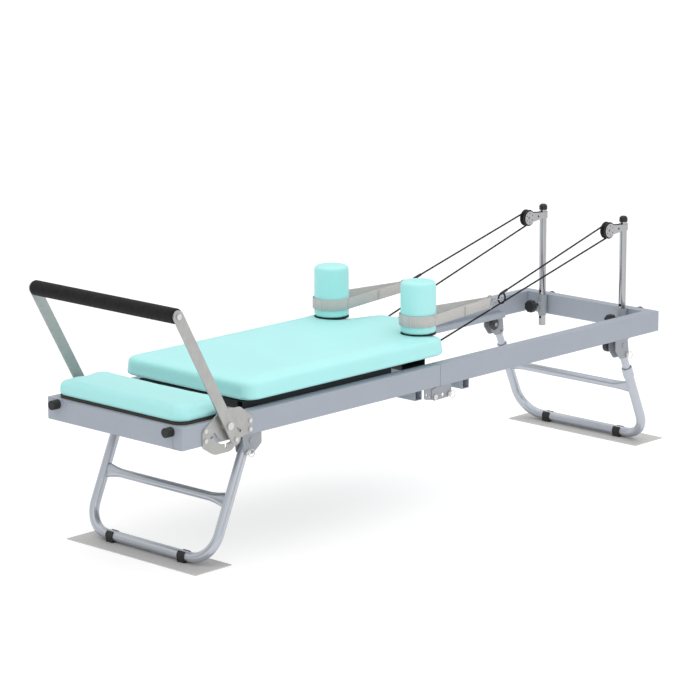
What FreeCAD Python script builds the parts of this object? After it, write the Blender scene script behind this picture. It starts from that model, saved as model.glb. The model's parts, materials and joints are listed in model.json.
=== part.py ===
"""Folding pilates reformer, as a parametric FreeCAD document.

Lengths are in millimetres and angles in degrees. +X runs from the foot end to the riser end, +Y to the
far side and +Z up. Every x below is counted from the foot end's face, and the origin is moved to the
middle of the footprint on the floor when a piece is placed.
"""
import FreeCAD, Part
import math
import os
import re
import Sketcher

SIZES = {
    # whole frame
    "origin_x": 1138, "half_width": 300, "frame_length": 2280, "seam_x": 1142, "seam_gap": 1,
    "rail_top": 467, "rail_height": 70, "rail_width": 40, "tube_wall": 2,
    "track_width": 24, "track_height": 18, "rear_track_inset": 192,
    "cross_tube": 32, "cross_inset": 8, "front_cross_x": 1030, "rear_cross_x": 1258,
    # fold hinge
    "hinge_x": 1116, "hinge_z": 365, "plate_wall": 3, "hinge_bolt_radius": 5,
    # bumpers
    "bumper_radius": 15, "bumper_length": 28, "front_bumper_inset": 46, "rear_bumper_inset": 100,
    "bumper_drop": 17,
    # foot platform
    "platform_length": 206, "platform_start": 8, "platform_inset": 14, "board_wall": 8, "board_inset": 6,
    "cushion_height": 48, "cushion_corner": 45, "cushion_edge": 16,
    # carriage
    "mat_start": 288, "mat_length": 912, "mat_inset": 9, "mat_height": 63, "mat_bottom": 490,
    "mat_corner": 50, "mat_edge": 13, "head_length": 122, "head_inset": 180, "head_root_inset": 125,
    "head_corner": 40, "root_corner": 12, "carriage_board_inset": 60, "carriage_board_wall": 10,
    "carriage_tube": 25, "carriage_tube_inset": 95, "side_tube_length": 665, "rear_crossbar": 110,
    "hanger_length": 28, "hanger_wall": 6, "hanger_drop": 12, "cleat_reach": 40, "cleat_inset": 149,
    "cleat_length": 28, "cleat_width": 24, "cleat_height": 22, "cleat_drop": 11,
    "wheel_radius": 22, "wheel_width": 17, "wheel_bore": 4, "wheel_gap": 2, "wheel_edge": 2,
    "front_wheel_inset": 92, "rear_wheel_inset": 110,
    "rest_back": 48, "rest_inset": 106, "rest_radius": 59.5, "rest_height": 172, "rest_base_wall": 4,
    "rest_edge": 9, "strap_width": 36, "strap_wall": 3, "strap_lift": 49, "strap_reach": 349,
    "spring_radius": 11, "spring_bar_gap": 26, "spring_z": 440, "spring_length": 680, "spring_pitch": 76,
    "spring_bar": 24,
    # footbar
    "pivot_x": 176, "pivot_z": 446, "arm_reach": 417, "arm_lean": 29, "arm_tail": 70, "arm_width": 38,
    "arm_wall": 5, "arm_gap": 17.5, "adjuster_wall": 4, "pivot_radius": 8, "grip_radius": 23.5,
    "grip_tube_radius": 12.5, "slot_reach": 52, "slot_width": 12,
    # legs
    "leg_radius": 16, "leg_wall": 1.5, "leg_bend": 90, "front_leg_x": 287, "front_leg_lean": 23.6,
    "front_leg_inset": 22, "rear_leg_back": 193, "rear_leg_lean": 23.6, "rear_leg_inset": 16,
    "leg_pivot_drop": 20,
    "strut_radius": 13, "brace_radius": 14, "brace_drop": 194, "rear_brace_drop": 180, "ear_wall": 3,
    "floor_plate_wall": 3, "floor_plate_length": 152, "saddle_wall": 3, "saddle_inset": 139,
    "saddle_width": 30, "saddle_length": 34, "saddle_mouth": 20,
    "transport_radius": 20.5, "transport_back": 230, "transport_z": 375, "pin_radius": 4, "pin_drop": 38,
    # risers
    "riser_back": 55, "riser_inset": 119, "riser_radius": 12.5, "riser_bottom": 357, "riser_top": 776,
    "riser_wall": 2, "cap_height": 20, "socket_radius": 17, "socket_bottom": 392, "hole_pitch": 47,
    "knob_z": 434, "knob_radius": 22.5, "pulley_reach": 88, "pulley_z": 757, "pulley_radius": 29,
    "groove_radius": 21,
    "pulley_width": 18, "rope_radius": 3, "running_gap": 0.3, "bearing_gap": 0.05,
}

# places and widths that follow from the sizes above, each written as named sizes joined by + and -
PLACES = {
    "rear_track_end": "frame_length - rear_track_inset",
    "front_bumper_y": "half_width - front_bumper_inset",
    "rear_bumper_y": "half_width - rear_bumper_inset",
    "bumper_z": "rail_top - bumper_drop",
    "platform_half_width": "half_width - platform_inset",
    "mat_half_width": "half_width - mat_inset",
    "head_half_width": "half_width - head_inset",
    "head_root": "half_width - head_root_inset",
    "carriage_tube_y": "half_width - carriage_tube_inset",
    "front_wheel_x": "mat_start + front_wheel_inset",
    "rear_wheel_x": "mat_start + mat_length - rear_wheel_inset",
    "rest_x": "mat_start + mat_length - rest_back",
    "rest_y": "half_width - rest_inset",
    "strap_z": "mat_bottom + mat_height + strap_lift",
    "ring_x": "rest_x + strap_reach",
    "cleat_x": "mat_start + mat_length + cleat_reach",
    "cleat_y": "half_width - cleat_inset",
    "cleat_z": "mat_bottom - cleat_drop",
    "spring_bar_x": "mat_start - spring_bar_gap",
    "arm_y": "half_width + arm_gap",
    "front_leg_y": "half_width - front_leg_inset",
    "rear_leg_x": "frame_length - rear_leg_back",
    "rear_leg_y": "half_width - rear_leg_inset",
    "leg_pivot_z": "rail_top - rail_height - leg_pivot_drop",
    "saddle_y": "half_width - saddle_inset",
    "transport_x": "frame_length - transport_back",
    "riser_x": "frame_length - riser_back",
    "riser_y": "half_width - riser_inset",
    "pulley_x": "riser_x - pulley_reach",
}

doc = FreeCAD.newDocument("reformer")
sheet = doc.addObject("Spreadsheet::Sheet", "Sizes")
for row, (alias, number) in enumerate(SIZES.items(), start=1):
    sheet.set(f"A{row}", alias)
    sheet.set(f"B{row}", str(number))
    sheet.setAlias(f"B{row}", alias)
doc.recompute()


class Values:
    """The sheet's numbers and the places, for the few shapes that are worked out in code."""


size = Values()
for alias in SIZES:
    setattr(size, alias, float(sheet.get(alias)))
for name, text in PLACES.items():
    words = text.split()
    total = getattr(size, words[0])
    for sign, word in zip(words[1::2], words[2::2]):
        total += getattr(size, word) * (1 if sign == "+" else -1)
    setattr(size, name, total)

V = FreeCAD.Vector
X_AXIS, Y_AXIS, Z_AXIS = V(1, 0, 0), V(0, 1, 0), V(0, 0, 1)
TURN = {
    "x": FreeCAD.Rotation(Y_AXIS, 90),
    "y": FreeCAD.Rotation(X_AXIS, -90),
    "z": FreeCAD.Rotation(),
}
SIDES = (("near", -1), ("far", 1))
NODES = {}

# places that several pieces share, as expressions over the sheet
RAIL_BOTTOM = "(rail_top - rail_height)"
RAIL_INNER = "(half_width - rail_width)"
BEAM_FACE = "(frame_length - rail_width)"
CUSHION_BOTTOM = "(rail_top + board_wall)"
BOARD_BOTTOM = "(mat_bottom - carriage_board_wall)"
MAT_TOP = "(mat_bottom + mat_height)"
TRACK_TOP = f"({RAIL_BOTTOM} + track_height)"
WHEEL_Z = f"({TRACK_TOP} + wheel_radius)"
LEG_FOOT_Z = "(floor_plate_wall + saddle_wall + leg_radius)"
LEG_DROP = f"(leg_pivot_z - {LEG_FOOT_Z})"
FRONT_FOOT_X = f"(front_leg_x - {LEG_DROP} * tan(front_leg_lean))"
REAR_FOOT_X = f"(rear_leg_x + {LEG_DROP} * tan(rear_leg_lean))"


def cell(match):
    """A size's cell, or a place spelled out over its cells."""
    word = match[0]
    if word in PLACES:
        return f"({linked(PLACES[word])})"
    return f"Sizes.{word}" if word in SIZES else word


def linked(text):
    """The expression with each size's name pointed at its cell. Angles get their unit inside functions."""
    text = re.sub(r"(sin|cos|tan)\((\w+)\)", r"\1(\2 * 1deg)", str(text))
    return re.sub(r"[a-z]\w*", cell, text)


def bind(thing, **sizes):
    """Ties properties of a document object to the sheet."""
    for key, text in sizes.items():
        thing.setExpression(key.replace("__", "."), linked(text))
    return thing


def place(thing, x=0, y=0, z=0):
    """Puts an object at x, y, z, with x counted from the foot end's face."""
    return bind(thing, Placement__Base__x=f"({x}) - origin_x", Placement__Base__y=y, Placement__Base__z=z)


def named(label):
    """A fresh internal name for a helper object."""
    return f"{label}_{len(doc.Objects)}"


def box(x, y, z, length, width, height, label="block"):
    thing = doc.addObject("Part::Box", named(label))
    bind(thing, Length=length, Width=width, Height=height)
    return place(thing, x, y, z)


def cylinder(x, y, z, radius, length, axis="z", label="rod"):
    """A cylinder from x, y, z along an axis."""
    thing = doc.addObject("Part::Cylinder", named(label))
    thing.Placement = FreeCAD.Placement(V(), TURN[axis])
    bind(thing, Radius=radius, Height=length)
    return place(thing, x, y, z)


def cone(x, y, z, radius, top_radius, length, axis="z", label="cone"):
    thing = doc.addObject("Part::Cone", named(label))
    thing.Placement = FreeCAD.Placement(V(), TURN[axis])
    bind(thing, Radius1=radius, Radius2=top_radius, Height=length)
    return place(thing, x, y, z)


def cut(base, *tools):
    thing = doc.addObject("Part::Cut", named("cut"))
    thing.Base = base
    thing.Tool = tools[0] if len(tools) == 1 else fuse(*tools)
    return thing


def fuse(*parts):
    thing = doc.addObject("Part::MultiFuse", named("fuse"))
    thing.Shapes = list(parts)
    return thing


def mirrored(source):
    """The same piece on the other side of the machine's middle plane."""
    thing = doc.addObject("Part::Mirroring", named("mirror"))
    thing.Source = source
    thing.Normal = Y_AXIS
    return thing


def group(*parts):
    """Separate solids that share one node."""
    thing = doc.addObject("Part::Compound", named("group"))
    thing.Links = list(parts)
    return thing


def pair(source):
    return group(source, mirrored(source))


def node(name, thing):
    thing.Label = name
    NODES[name] = thing
    return thing


def tube_box(x, y, z, length, width, height, along):
    """A rectangular tube with open ends, along x or y."""
    outer = box(x, y, z, length, width, height)
    if along == "x":
        inner = box(x, f"({y}) + tube_wall", f"({z}) + tube_wall", length, f"({width}) - 2 * tube_wall",
                    f"({height}) - 2 * tube_wall")
    else:
        inner = box(f"({x}) + tube_wall", y, f"({z}) + tube_wall", f"({length}) - 2 * tube_wall", width,
                    f"({height}) - 2 * tube_wall")
    return cut(outer, inner)


def body(name):
    return doc.addObject("PartDesign::Body", name)


def sketch(owner, plane, offset=0):
    """An empty sketch on one of the body's own origin planes, moved along the plane's normal."""
    thing = owner.newObject("Sketcher::SketchObject", named("sketch"))
    face = next(f for f in owner.Origin.OriginFeatures if f.Role == plane)
    thing.AttachmentSupport = (face, [""])
    thing.MapMode = "FlatFace"
    if offset:
        thing.setExpression("AttachmentOffset.Base.z", linked(offset))
    return thing


def rectangle(drawing, left, low, width, height):
    """A rectangle whose corner and sides follow the sheet."""
    points = [V(0, 0, 0), V(10, 0, 0), V(10, 10, 0), V(0, 10, 0)]
    first = len(drawing.Geometry)
    for i in range(4):
        drawing.addGeometry(Part.LineSegment(points[i], points[(i + 1) % 4]))
    for i in range(4):
        drawing.addConstraint(Sketcher.Constraint("Coincident", first + i, 2, first + (i + 1) % 4, 1))
    for i, kind in enumerate(("Horizontal", "Vertical", "Horizontal", "Vertical")):
        drawing.addConstraint(Sketcher.Constraint(kind, first + i))
    facts = (
        ("DistanceX", (-1, 1, first, 1), left), ("DistanceY", (-1, 1, first, 1), low),
        ("DistanceX", (first, 1, first, 2), width), ("DistanceY", (first + 1, 1, first + 1, 2), height),
    )
    for kind, ends, text in facts:
        index = drawing.addConstraint(Sketcher.Constraint(kind, *ends, 5.0))
        drawing.setExpression(f"Constraints[{index}]", linked(text))


def circle(drawing, x, y, radius):
    """A circle whose centre and radius follow the sheet."""
    index = drawing.addGeometry(Part.Circle(V(5, 5, 0), Z_AXIS, 3))
    facts = (
        ("DistanceX", (-1, 1, index, 3), x), ("DistanceY", (-1, 1, index, 3), y),
        ("Radius", (index,), radius),
    )
    for kind, ends, text in facts:
        place_of = drawing.addConstraint(Sketcher.Constraint(kind, *ends, 3.0))
        drawing.setExpression(f"Constraints[{place_of}]", linked(text))


def pad(owner, drawing, length, midplane=False, back=False):
    thing = owner.newObject("PartDesign::Pad", named("pad"))
    thing.Profile = drawing
    thing.Midplane = midplane
    thing.Reversed = back
    thing.setExpression("Length", linked(length))
    return thing


def rounded(owner, radius, keep):
    """Rounds the edges of the body's tip that keep() picks."""
    doc.recompute()
    tip = owner.Tip
    edges = [f"Edge{i}" for i, edge in enumerate(tip.Shape.Edges, start=1) if keep(edge)]
    thing = owner.newObject("PartDesign::Fillet", named("round"))
    thing.Base = (tip, edges)
    thing.setExpression("Radius", linked(radius))
    return thing


def upright(edge):
    return edge.BoundBox.ZLength > 1 and edge.BoundBox.XLength < 1e-6 and edge.BoundBox.YLength < 1e-6


def at_height(height):
    """Picks the edges that lie flat at one height."""
    return lambda edge: edge.BoundBox.ZLength < 1e-6 and abs(edge.BoundBox.ZMin - height) < 1e-6


def coded(name, shape):
    """A piece whose shape is worked out in code, wrapped so that its own turns and moves are kept."""
    thing = doc.addObject("Part::Feature", named(name))
    thing.Shape = Part.makeCompound([shape])
    return place(thing)


def rod(start, direction, radius, length):
    return Part.makeCylinder(radius, length, start, direction)


# ---------------------------------------------------------------- frame


def rail(start, length, name):
    """One near-side rail, as a padded rectangle with a tube's hollow."""
    owner = body(named(name))
    outline = sketch(owner, "YZ_Plane", start)
    rectangle(outline, "-half_width", RAIL_BOTTOM, "rail_width", "rail_height")
    rectangle(outline, "tube_wall - half_width", f"{RAIL_BOTTOM} + tube_wall", "rail_width - 2 * tube_wall",
              "rail_height - 2 * tube_wall")
    pad(owner, outline, length)
    return place(owner)


def half_frame(name, start, length, cap_x, beam_x, cross_x, track_start, track_length):
    """Two rails closed by welded end caps, the carriage's track inside each, an end beam and a cross tube."""
    near_rail = rail(start, length, f"{name}_rail")
    near_cap = box(cap_x, "-half_width", RAIL_BOTTOM, "tube_wall", "rail_width", "rail_height")
    near_track = tube_box(track_start, f"-{RAIL_INNER}", RAIL_BOTTOM, track_length, "track_width",
                          "track_height", "x")
    beam = tube_box(beam_x, f"-{RAIL_INNER}", RAIL_BOTTOM, "rail_width", f"2 * {RAIL_INNER}",
                    "rail_height", "y")
    cross = tube_box(cross_x, "-(half_width - cross_inset)", f"{RAIL_BOTTOM} - cross_tube", "cross_tube",
                     "2 * (half_width - cross_inset)", "cross_tube", "y")
    node(name, group(near_rail, mirrored(near_rail), near_cap, mirrored(near_cap), near_track,
                     mirrored(near_track), beam, cross))


FRONT_END = "(seam_x - seam_gap / 2)"
REAR_START = "(seam_x + seam_gap / 2)"
half_frame("front_frame", "tube_wall", f"{FRONT_END} - tube_wall", 0, 0, "front_cross_x", "rail_width",
           f"{FRONT_END} - rail_width")
half_frame("rear_frame", REAR_START, f"frame_length - tube_wall - {REAR_START}", "frame_length - tube_wall",
           BEAM_FACE, "rear_cross_x", REAR_START, f"rear_track_end - {REAR_START}")


def bumper(name, x, y, outward):
    """Two rubber bumpers on an end beam, each with a rounded front rim."""
    owner = body(named(name))
    outline = sketch(owner, "YZ_Plane", x)
    circle(outline, y, "bumper_z", "bumper_radius")
    pad(owner, outline, "bumper_length", back=outward < 0)
    tip = size.bumper_length * outward + (size.frame_length if outward > 0 else 0)
    rounded(owner, "bumper_radius / 5",
            lambda edge: edge.BoundBox.XLength < 1e-6 and abs(edge.BoundBox.XMin - tip) < 1e-6)
    node(name, pair(place(owner)))


bumper("front_bumpers", 0, "-front_bumper_y", -1)
bumper("rear_bumpers", "frame_length", "-rear_bumper_y", 1)


# ---------------------------------------------------------------- foot platform


def slab(name, start, length, half_width, low, height, corner, edge=None):
    """A rounded-corner board or cushion, with its top edge rounded where an edge radius is given."""
    owner = body(name)
    outline = sketch(owner, "XY_Plane", low)
    rectangle(outline, start, f"-({half_width})", length, f"2 * ({half_width})")
    pad(owner, outline, height)
    rounded(owner, corner, upright)
    if edge:
        doc.recompute()
        rounded(owner, edge, at_height(owner.Tip.Shape.BoundBox.ZMax))
    return place(owner)


node("platform_board", slab("platform_board_body", "platform_start + board_inset",
                            "platform_length - 2 * board_inset", "platform_half_width - board_inset",
                            "rail_top", "board_wall", "cushion_corner - board_inset"))
node("platform_cushion", slab("platform_cushion_body", "platform_start", "platform_length",
                              "platform_half_width", CUSHION_BOTTOM, "cushion_height", "cushion_corner",
                              "cushion_edge"))

# ---------------------------------------------------------------- carriage


def mat_outline(inset):
    """The mat's plan: a rounded rectangle whose riser end narrows into a rounded head section."""
    x0, x1 = size.mat_start + inset, size.mat_start + size.mat_length - inset
    x2, half = x1 + size.head_length, size.mat_half_width - inset
    root, head = size.head_root - inset, size.head_half_width - inset
    corner, neck, nose = size.mat_corner, size.root_corner, size.head_corner
    return [(x0, -half, corner), (x1, -half, corner), (x1, -root, neck), (x2, -head, nose),
            (x2, head, nose), (x1, root, neck), (x1, half, corner), (x0, half, corner)]


def rounded_polygon(corners):
    """A flat wire through the corners (x, y, radius), each rounded by its radius."""
    edges, ends = [], []
    for i, (x, y, radius) in enumerate(corners):
        here = V(x, y, 0)
        before = (V(*corners[i - 1][:2], 0) - here).normalize()
        after = (V(*corners[(i + 1) % len(corners)][:2], 0) - here).normalize()
        half_angle = before.getAngle(after) / 2
        reach = radius / math.tan(half_angle)
        middle = here + (before + after).normalize() * (radius / math.sin(half_angle) - radius)
        ends.append((here + before * reach, middle, here + after * reach))
    for i, (start, middle, end) in enumerate(ends):
        edges.append(Part.Arc(start, middle, end).toShape())
        edges.append(Part.LineSegment(end, ends[(i + 1) % len(ends)][0]).toShape())
    return Part.Wire(edges)


def outline_slab(name, corners, low, height, edge=0):
    """A board or mat of any rounded plan, with its top edge rounded where an edge radius is given."""
    solid = Part.Face(rounded_polygon(corners)).extrude(V(0, 0, height))
    if edge:
        top = [e for e in solid.Edges if e.BoundBox.ZMin > height - 1e-6]
        solid = solid.makeFillet(edge, top)
    solid.translate(V(0, 0, low))
    node(name, coded(name, solid))


outline_slab("carriage_mat", mat_outline(0), size.mat_bottom, size.mat_height, size.mat_edge)
outline_slab("carriage_board", mat_outline(size.carriage_board_inset),
             size.mat_bottom - size.carriage_board_wall, size.carriage_board_wall)

CARRIAGE_TUBE_LOW = f"({BOARD_BOTTOM} - carriage_tube)"
CARRIAGE_FRAME_START = "(front_wheel_x - 60)"
CARRIAGE_OUTER = "(carriage_tube_y + carriage_tube)"
SPRING_START = "(spring_bar_x + 12)"
SPRING_END = f"({SPRING_START} + spring_length)"


def carriage_frame():
    """Two long tubes, three crossbars, a broad rear crossbar, wheel hangers and the springs' lugs."""
    parts = []
    side_tube = tube_box(CARRIAGE_FRAME_START, "-carriage_tube_y - carriage_tube", CARRIAGE_TUBE_LOW,
                         "side_tube_length", "carriage_tube", "carriage_tube", "x")
    parts += [side_tube, mirrored(side_tube)]
    for share in (0, 0.5, 1):
        parts.append(tube_box(f"{CARRIAGE_FRAME_START} + {share} * (side_tube_length - carriage_tube)",
                              "-carriage_tube_y", CARRIAGE_TUBE_LOW, "carriage_tube",
                              "2 * carriage_tube_y", "carriage_tube", "y"))
    parts.append(tube_box("rear_wheel_x - rear_crossbar / 2", "-carriage_tube_y - carriage_tube",
                          CARRIAGE_TUBE_LOW, "rear_crossbar", "2 * (carriage_tube_y + carriage_tube)",
                          "carriage_tube", "y"))
    for x in ("front_wheel_x", "rear_wheel_x"):
        hanger = cut(
            box(f"{x} - hanger_length / 2", f"-{CARRIAGE_OUTER}", f"{WHEEL_Z} - hanger_drop",
                "hanger_length", "hanger_wall", f"{CARRIAGE_TUBE_LOW} - {WHEEL_Z} + hanger_drop"),
            cylinder(x, f"-{CARRIAGE_OUTER}", WHEEL_Z, "wheel_bore", "hanger_wall", "y"))
        parts += [hanger, mirrored(hanger)]
    for number in range(4):
        y = f"{number - 1.5} * spring_pitch"
        parts.append(fuse(
            box(f"{SPRING_END} + 8", f"{y} - 7", "spring_z - 9", 5, 14,
                f"{CARRIAGE_TUBE_LOW} - spring_z + 9"),
            cylinder(f"{SPRING_END} + running_gap", y, "spring_z", 4, "12 - running_gap", "x")))
    node("carriage_frame", group(*parts))


carriage_frame()
WHEEL_OUTER = f"({CARRIAGE_OUTER} + wheel_gap + wheel_width)"


def carriage_wheels(name, x):
    """A pair of grooved rollers with a bore for the bolt."""
    owner = body(named(name))
    outline = sketch(owner, "XZ_Plane", WHEEL_OUTER)
    circle(outline, x, WHEEL_Z, "wheel_radius - running_gap")
    circle(outline, x, WHEEL_Z, "wheel_bore + bearing_gap")
    pad(owner, outline, "wheel_width", back=True)
    rim = 2 * (size.wheel_radius - size.running_gap)
    rounded(owner, "wheel_edge", lambda edge: abs(edge.BoundBox.XLength - rim) < 1e-3)
    node(name, pair(place(owner)))


carriage_wheels("carriage_wheels_front", "front_wheel_x")
carriage_wheels("carriage_wheels_rear", "rear_wheel_x")


def wheel_bolts():
    """A shoulder bolt through each hanger and wheel, with a head outside and a nut inside."""
    parts = []
    for x in ("front_wheel_x", "rear_wheel_x"):
        bolt = fuse(
            cylinder(x, f"-{WHEEL_OUTER} - 0.6", WHEEL_Z, "wheel_bore",
                     f"{WHEEL_OUTER} - carriage_tube_y + 1", "y"),
            cylinder(x, f"-{WHEEL_OUTER} - 3.6", WHEEL_Z, "wheel_bore + 3", 3, "y"),
            cylinder(x, f"-{CARRIAGE_OUTER} + hanger_wall", WHEEL_Z, "wheel_bore + 3", 5, "y"))
        parts += [bolt, mirrored(bolt)]
    node("wheel_bolts", group(*parts))


wheel_bolts()

# shoulder rests
REST_LOW = f"({MAT_TOP} + rest_base_wall)"
node("rest_bases", pair(cylinder("rest_x", "-rest_y", MAT_TOP, "rest_radius - 1.5", "rest_base_wall")))
rest = body("rest_body")
rest_outline = sketch(rest, "XY_Plane", REST_LOW)
circle(rest_outline, "rest_x", "-rest_y", "rest_radius")
pad(rest, rest_outline, "rest_height")
doc.recompute()
rounded(rest, "rest_edge", at_height(rest.Tip.Shape.BoundBox.ZMax))
node("shoulder_rests", pair(place(rest)))


def strap_loop(side):
    """A flat webbing loop round a shoulder rest, drawn in to the ring behind it."""
    gap, wall = 0.6, size.strap_wall
    centre = V(size.rest_x, side * size.rest_y, 0)
    reach = size.ring_x - 4 - size.rest_x

    def loop_face(radius, tip, half_tip):
        angle = math.acos((radius - half_tip) / tip)
        top = V(radius * math.cos(angle), radius * math.sin(angle), 0)
        bottom = V(top.x, -top.y, 0)
        end_top = V(tip + half_tip * math.cos(angle), half_tip * math.sin(angle), 0)
        end_bottom = V(end_top.x, -end_top.y, 0)
        edges = [Part.Arc(top, V(-radius, 0, 0), bottom).toShape(),
                 Part.LineSegment(bottom, end_bottom).toShape(),
                 Part.Arc(end_bottom, V(tip + half_tip, 0, 0), end_top).toShape(),
                 Part.LineSegment(end_top, top).toShape()]
        return Part.Face(Part.Wire(edges))

    inner_radius = size.rest_radius + gap
    ring = loop_face(inner_radius + wall, reach, 4.5 + wall).cut(loop_face(inner_radius, reach, 4.5))
    solid = ring.Faces[0].extrude(V(0, 0, size.strap_width))
    solid.translate(centre + V(0, 0, size.strap_z - size.strap_width / 2))
    return solid


node("hand_straps", coded("hand_straps", Part.makeCompound([strap_loop(-1), strap_loop(1)])))


def bent_rod(points, radius):
    """A round rod through the points, joined by balls, as one solid."""
    solid = None
    for start, end in zip(points, points[1:]):
        piece = rod(start, end - start, radius, (end - start).Length)
        solid = piece if solid is None else solid.fuse(piece)
    for corner in points[1:-1]:
        solid = solid.fuse(Part.makeSphere(radius, corner))
    return solid.removeSplitter()


RING_WIRE, RING_BOW = 2.5, 18
EYE_X, EYE_Z, EYE_RADIUS = 64, size.strap_z + 4, 17


def strap_ring(side):
    """A D-shaped ring: its straight bar stands in the strap's end and its bow points to the riser."""
    bar, apex = size.ring_x - 4, size.ring_x + RING_BOW
    half = size.strap_width / 2 + RING_WIRE + 0.7
    upper = [(bar, half), (bar + 12, half), (apex - 3, half - 8), (apex, 8)]
    outline = upper + [(x, -z) for x, z in reversed(upper)]
    points = [V(x, side * size.rest_y, size.strap_z + z) for x, z in outline + outline[:1]]
    return bent_rod(points, RING_WIRE).fuse(Part.makeSphere(RING_WIRE, points[0])).removeSplitter()


def snap_hook(side):
    """A swivel snap hook: its own eye is linked with the ring and its closed bow with the rope's eye."""
    wire, eye_radius, y = 2, 7.5, side * size.rest_y
    eye_x = size.ring_x + RING_BOW + RING_WIRE
    eye = Part.makeTorus(eye_radius, wire, V(eye_x, y, EYE_Z), Z_AXIS)
    shank_start = eye_x + eye_radius
    rope_side = size.ring_x + EYE_X - EYE_RADIUS
    bow_start = rope_side - size.rope_radius - wire - 1
    shank = rod(V(shank_start, y, EYE_Z), X_AXIS, 3.5, bow_start - shank_start)
    bow_end = rope_side + size.rope_radius + wire + 0.5
    half_bow = [(bow_start, 0), (bow_start + 1, 6), (bow_end - 3, 6), (bow_end, 2)]
    bow = half_bow + [(x, -across) for x, across in reversed(half_bow)]
    points = [V(x, y + across, EYE_Z) for x, across in bow]
    return eye.fuse(shank).fuse(bent_rod(points, wire)).removeSplitter()


for label, side in SIDES:
    node(f"strap_ring_{label}", coded("ring", strap_ring(side)))
    node(f"snap_hook_{label}", coded("hook", snap_hook(side)))

cleat = cut(
    box("cleat_x - cleat_length", "-cleat_y - cleat_width / 2", "mat_bottom - cleat_height",
        "cleat_length", "cleat_width", "cleat_height"),
    cylinder("cleat_x - 16", "-cleat_y", "cleat_z", "rope_radius + 2", 20, "x"))
node("rope_cleats", pair(cleat))

# springs
node("springs", group(*[
    cylinder(SPRING_START, f"{number - 1.5} * spring_pitch", "spring_z", "spring_radius",
             "spring_length", "x")
    for number in range(4)]))
node("spring_bar", tube_box("spring_bar_x - spring_bar / 2", f"-{RAIL_INNER} + bearing_gap",
                            "spring_z - spring_bar / 2", "spring_bar",
                            f"2 * ({RAIL_INNER} - bearing_gap)", "spring_bar", "y"))

# ---------------------------------------------------------------- footbar


def turned_plate(points_and_radii, thickness):
    """A rounded plate drawn in x and z and standing along +Y from y = 0."""
    flat = Part.Face(rounded_polygon(points_and_radii)).extrude(V(0, 0, thickness))
    flat.rotate(V(), X_AXIS, 90)
    flat.translate(V(0, thickness, 0))
    return flat


def arc_slot(radius, width, first, last, depth):
    """A curved slot's cutter about the Y axis, with round ends. Angles count from +X towards +Z."""
    inner, outer = radius - width / 2, radius + width / 2

    def point(reach, angle):
        turn = math.radians(angle)
        return V(reach * math.cos(turn), 0, reach * math.sin(turn))

    middle = (first + last) / 2
    edges = [Part.Arc(point(outer, first), point(outer, middle), point(outer, last)).toShape(),
             Part.LineSegment(point(outer, last), point(inner, last)).toShape(),
             Part.Arc(point(inner, last), point(inner, middle), point(inner, first)).toShape(),
             Part.LineSegment(point(inner, first), point(outer, first)).toShape()]
    solid = Part.Face(Part.Wire(edges)).extrude(V(0, depth, 0))
    for angle in (first, last):
        solid = solid.fuse(rod(point(radius, angle), Y_AXIS, width / 2, depth))
    return solid


ADJUSTER_OUTLINE = [(-96, -2, 14), (-96, -54, 14), (-48, -84, 40), (22, -84, 40), (62, -50, 20),
                    (104, -40, 8), (114, -20, 10), (114, 6, 10), (62, 46, 14), (-20, 46, 20)]
ADJUSTER_BOLTS = [(-84, -4), (-84, -34), (102, -4), (102, -31)]
NOTCH_ANGLES = (204, 270, 299, 335)


def adjuster_plate():
    """The slotted plate on the near rail, about the footbar's pivot."""
    wall = size.adjuster_wall
    plate = turned_plate(ADJUSTER_OUTLINE, wall)
    plate = plate.cut(arc_slot(size.slot_reach, size.slot_width, NOTCH_ANGLES[0], NOTCH_ANGLES[-1], wall))
    for angle in NOTCH_ANGLES:
        notch = Part.makeBox(size.slot_width + 8, wall, 8.5, V(size.slot_reach - 2, 0, -4.25))
        notch.rotate(V(), Y_AXIS, -angle)
        plate = plate.cut(notch)
    plate = plate.cut(rod(V(), Y_AXIS, size.pivot_radius + size.bearing_gap, wall))
    for x, z in ADJUSTER_BOLTS:
        plate = plate.cut(rod(V(x, 0, z), Y_AXIS, 4, wall))
    plate.translate(V(size.pivot_x, -size.half_width - wall, size.pivot_z))
    return plate


node("adjuster_plates", pair(coded("adjuster_plate", adjuster_plate())))
ADJUSTER_FACE = "(half_width + adjuster_wall)"


def adjuster_bolts():
    """Domed bolts that hold each plate to its rail."""
    parts = []
    for x, z in ADJUSTER_BOLTS:
        parts.append(fuse(
            cylinder(f"pivot_x + {x}", f"-{ADJUSTER_FACE} - 4", f"pivot_z + {z}", 7, 4, "y"),
            cylinder(f"pivot_x + {x}", f"-{ADJUSTER_FACE}", f"pivot_z + {z}", 4, "adjuster_wall", "y")))
    node("adjuster_bolts", group(*parts, *[mirrored(p) for p in parts]))


adjuster_bolts()
lean = math.radians(size.arm_lean)
ALONG = V(-math.sin(lean), 0, math.cos(lean))
PIVOT = V(size.pivot_x, 0, size.pivot_z)
ARM_TURN = -(90 + size.arm_lean)


def footbar_arm():
    """The near arm: a round-ended flat bar with its pivot bore, peg bore and grip bolt bore."""
    half, wall = size.arm_width / 2, size.arm_wall
    tail, reach = size.arm_tail, size.arm_reach
    bar = turned_plate([(-tail, -half, half - 0.1), (reach + half, -half, half - 0.1),
                        (reach + half, half, half - 0.1), (-tail, half, half - 0.1)], wall)
    bar = bar.cut(rod(V(), Y_AXIS, size.pivot_radius, wall))
    bar = bar.cut(rod(V(-size.slot_reach, 0, 0), Y_AXIS, 4, wall))
    bar = bar.cut(rod(V(reach, 0, 0), Y_AXIS, 5, wall))
    bar.rotate(V(), Y_AXIS, ARM_TURN)
    bar.translate(PIVOT + V(0, -size.arm_y - wall, 0))
    return bar


node("footbar_arms", pair(coded("footbar_arm", footbar_arm())))
GRIP = PIVOT + ALONG * size.arm_reach
grip_length = 2 * size.arm_y


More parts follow.
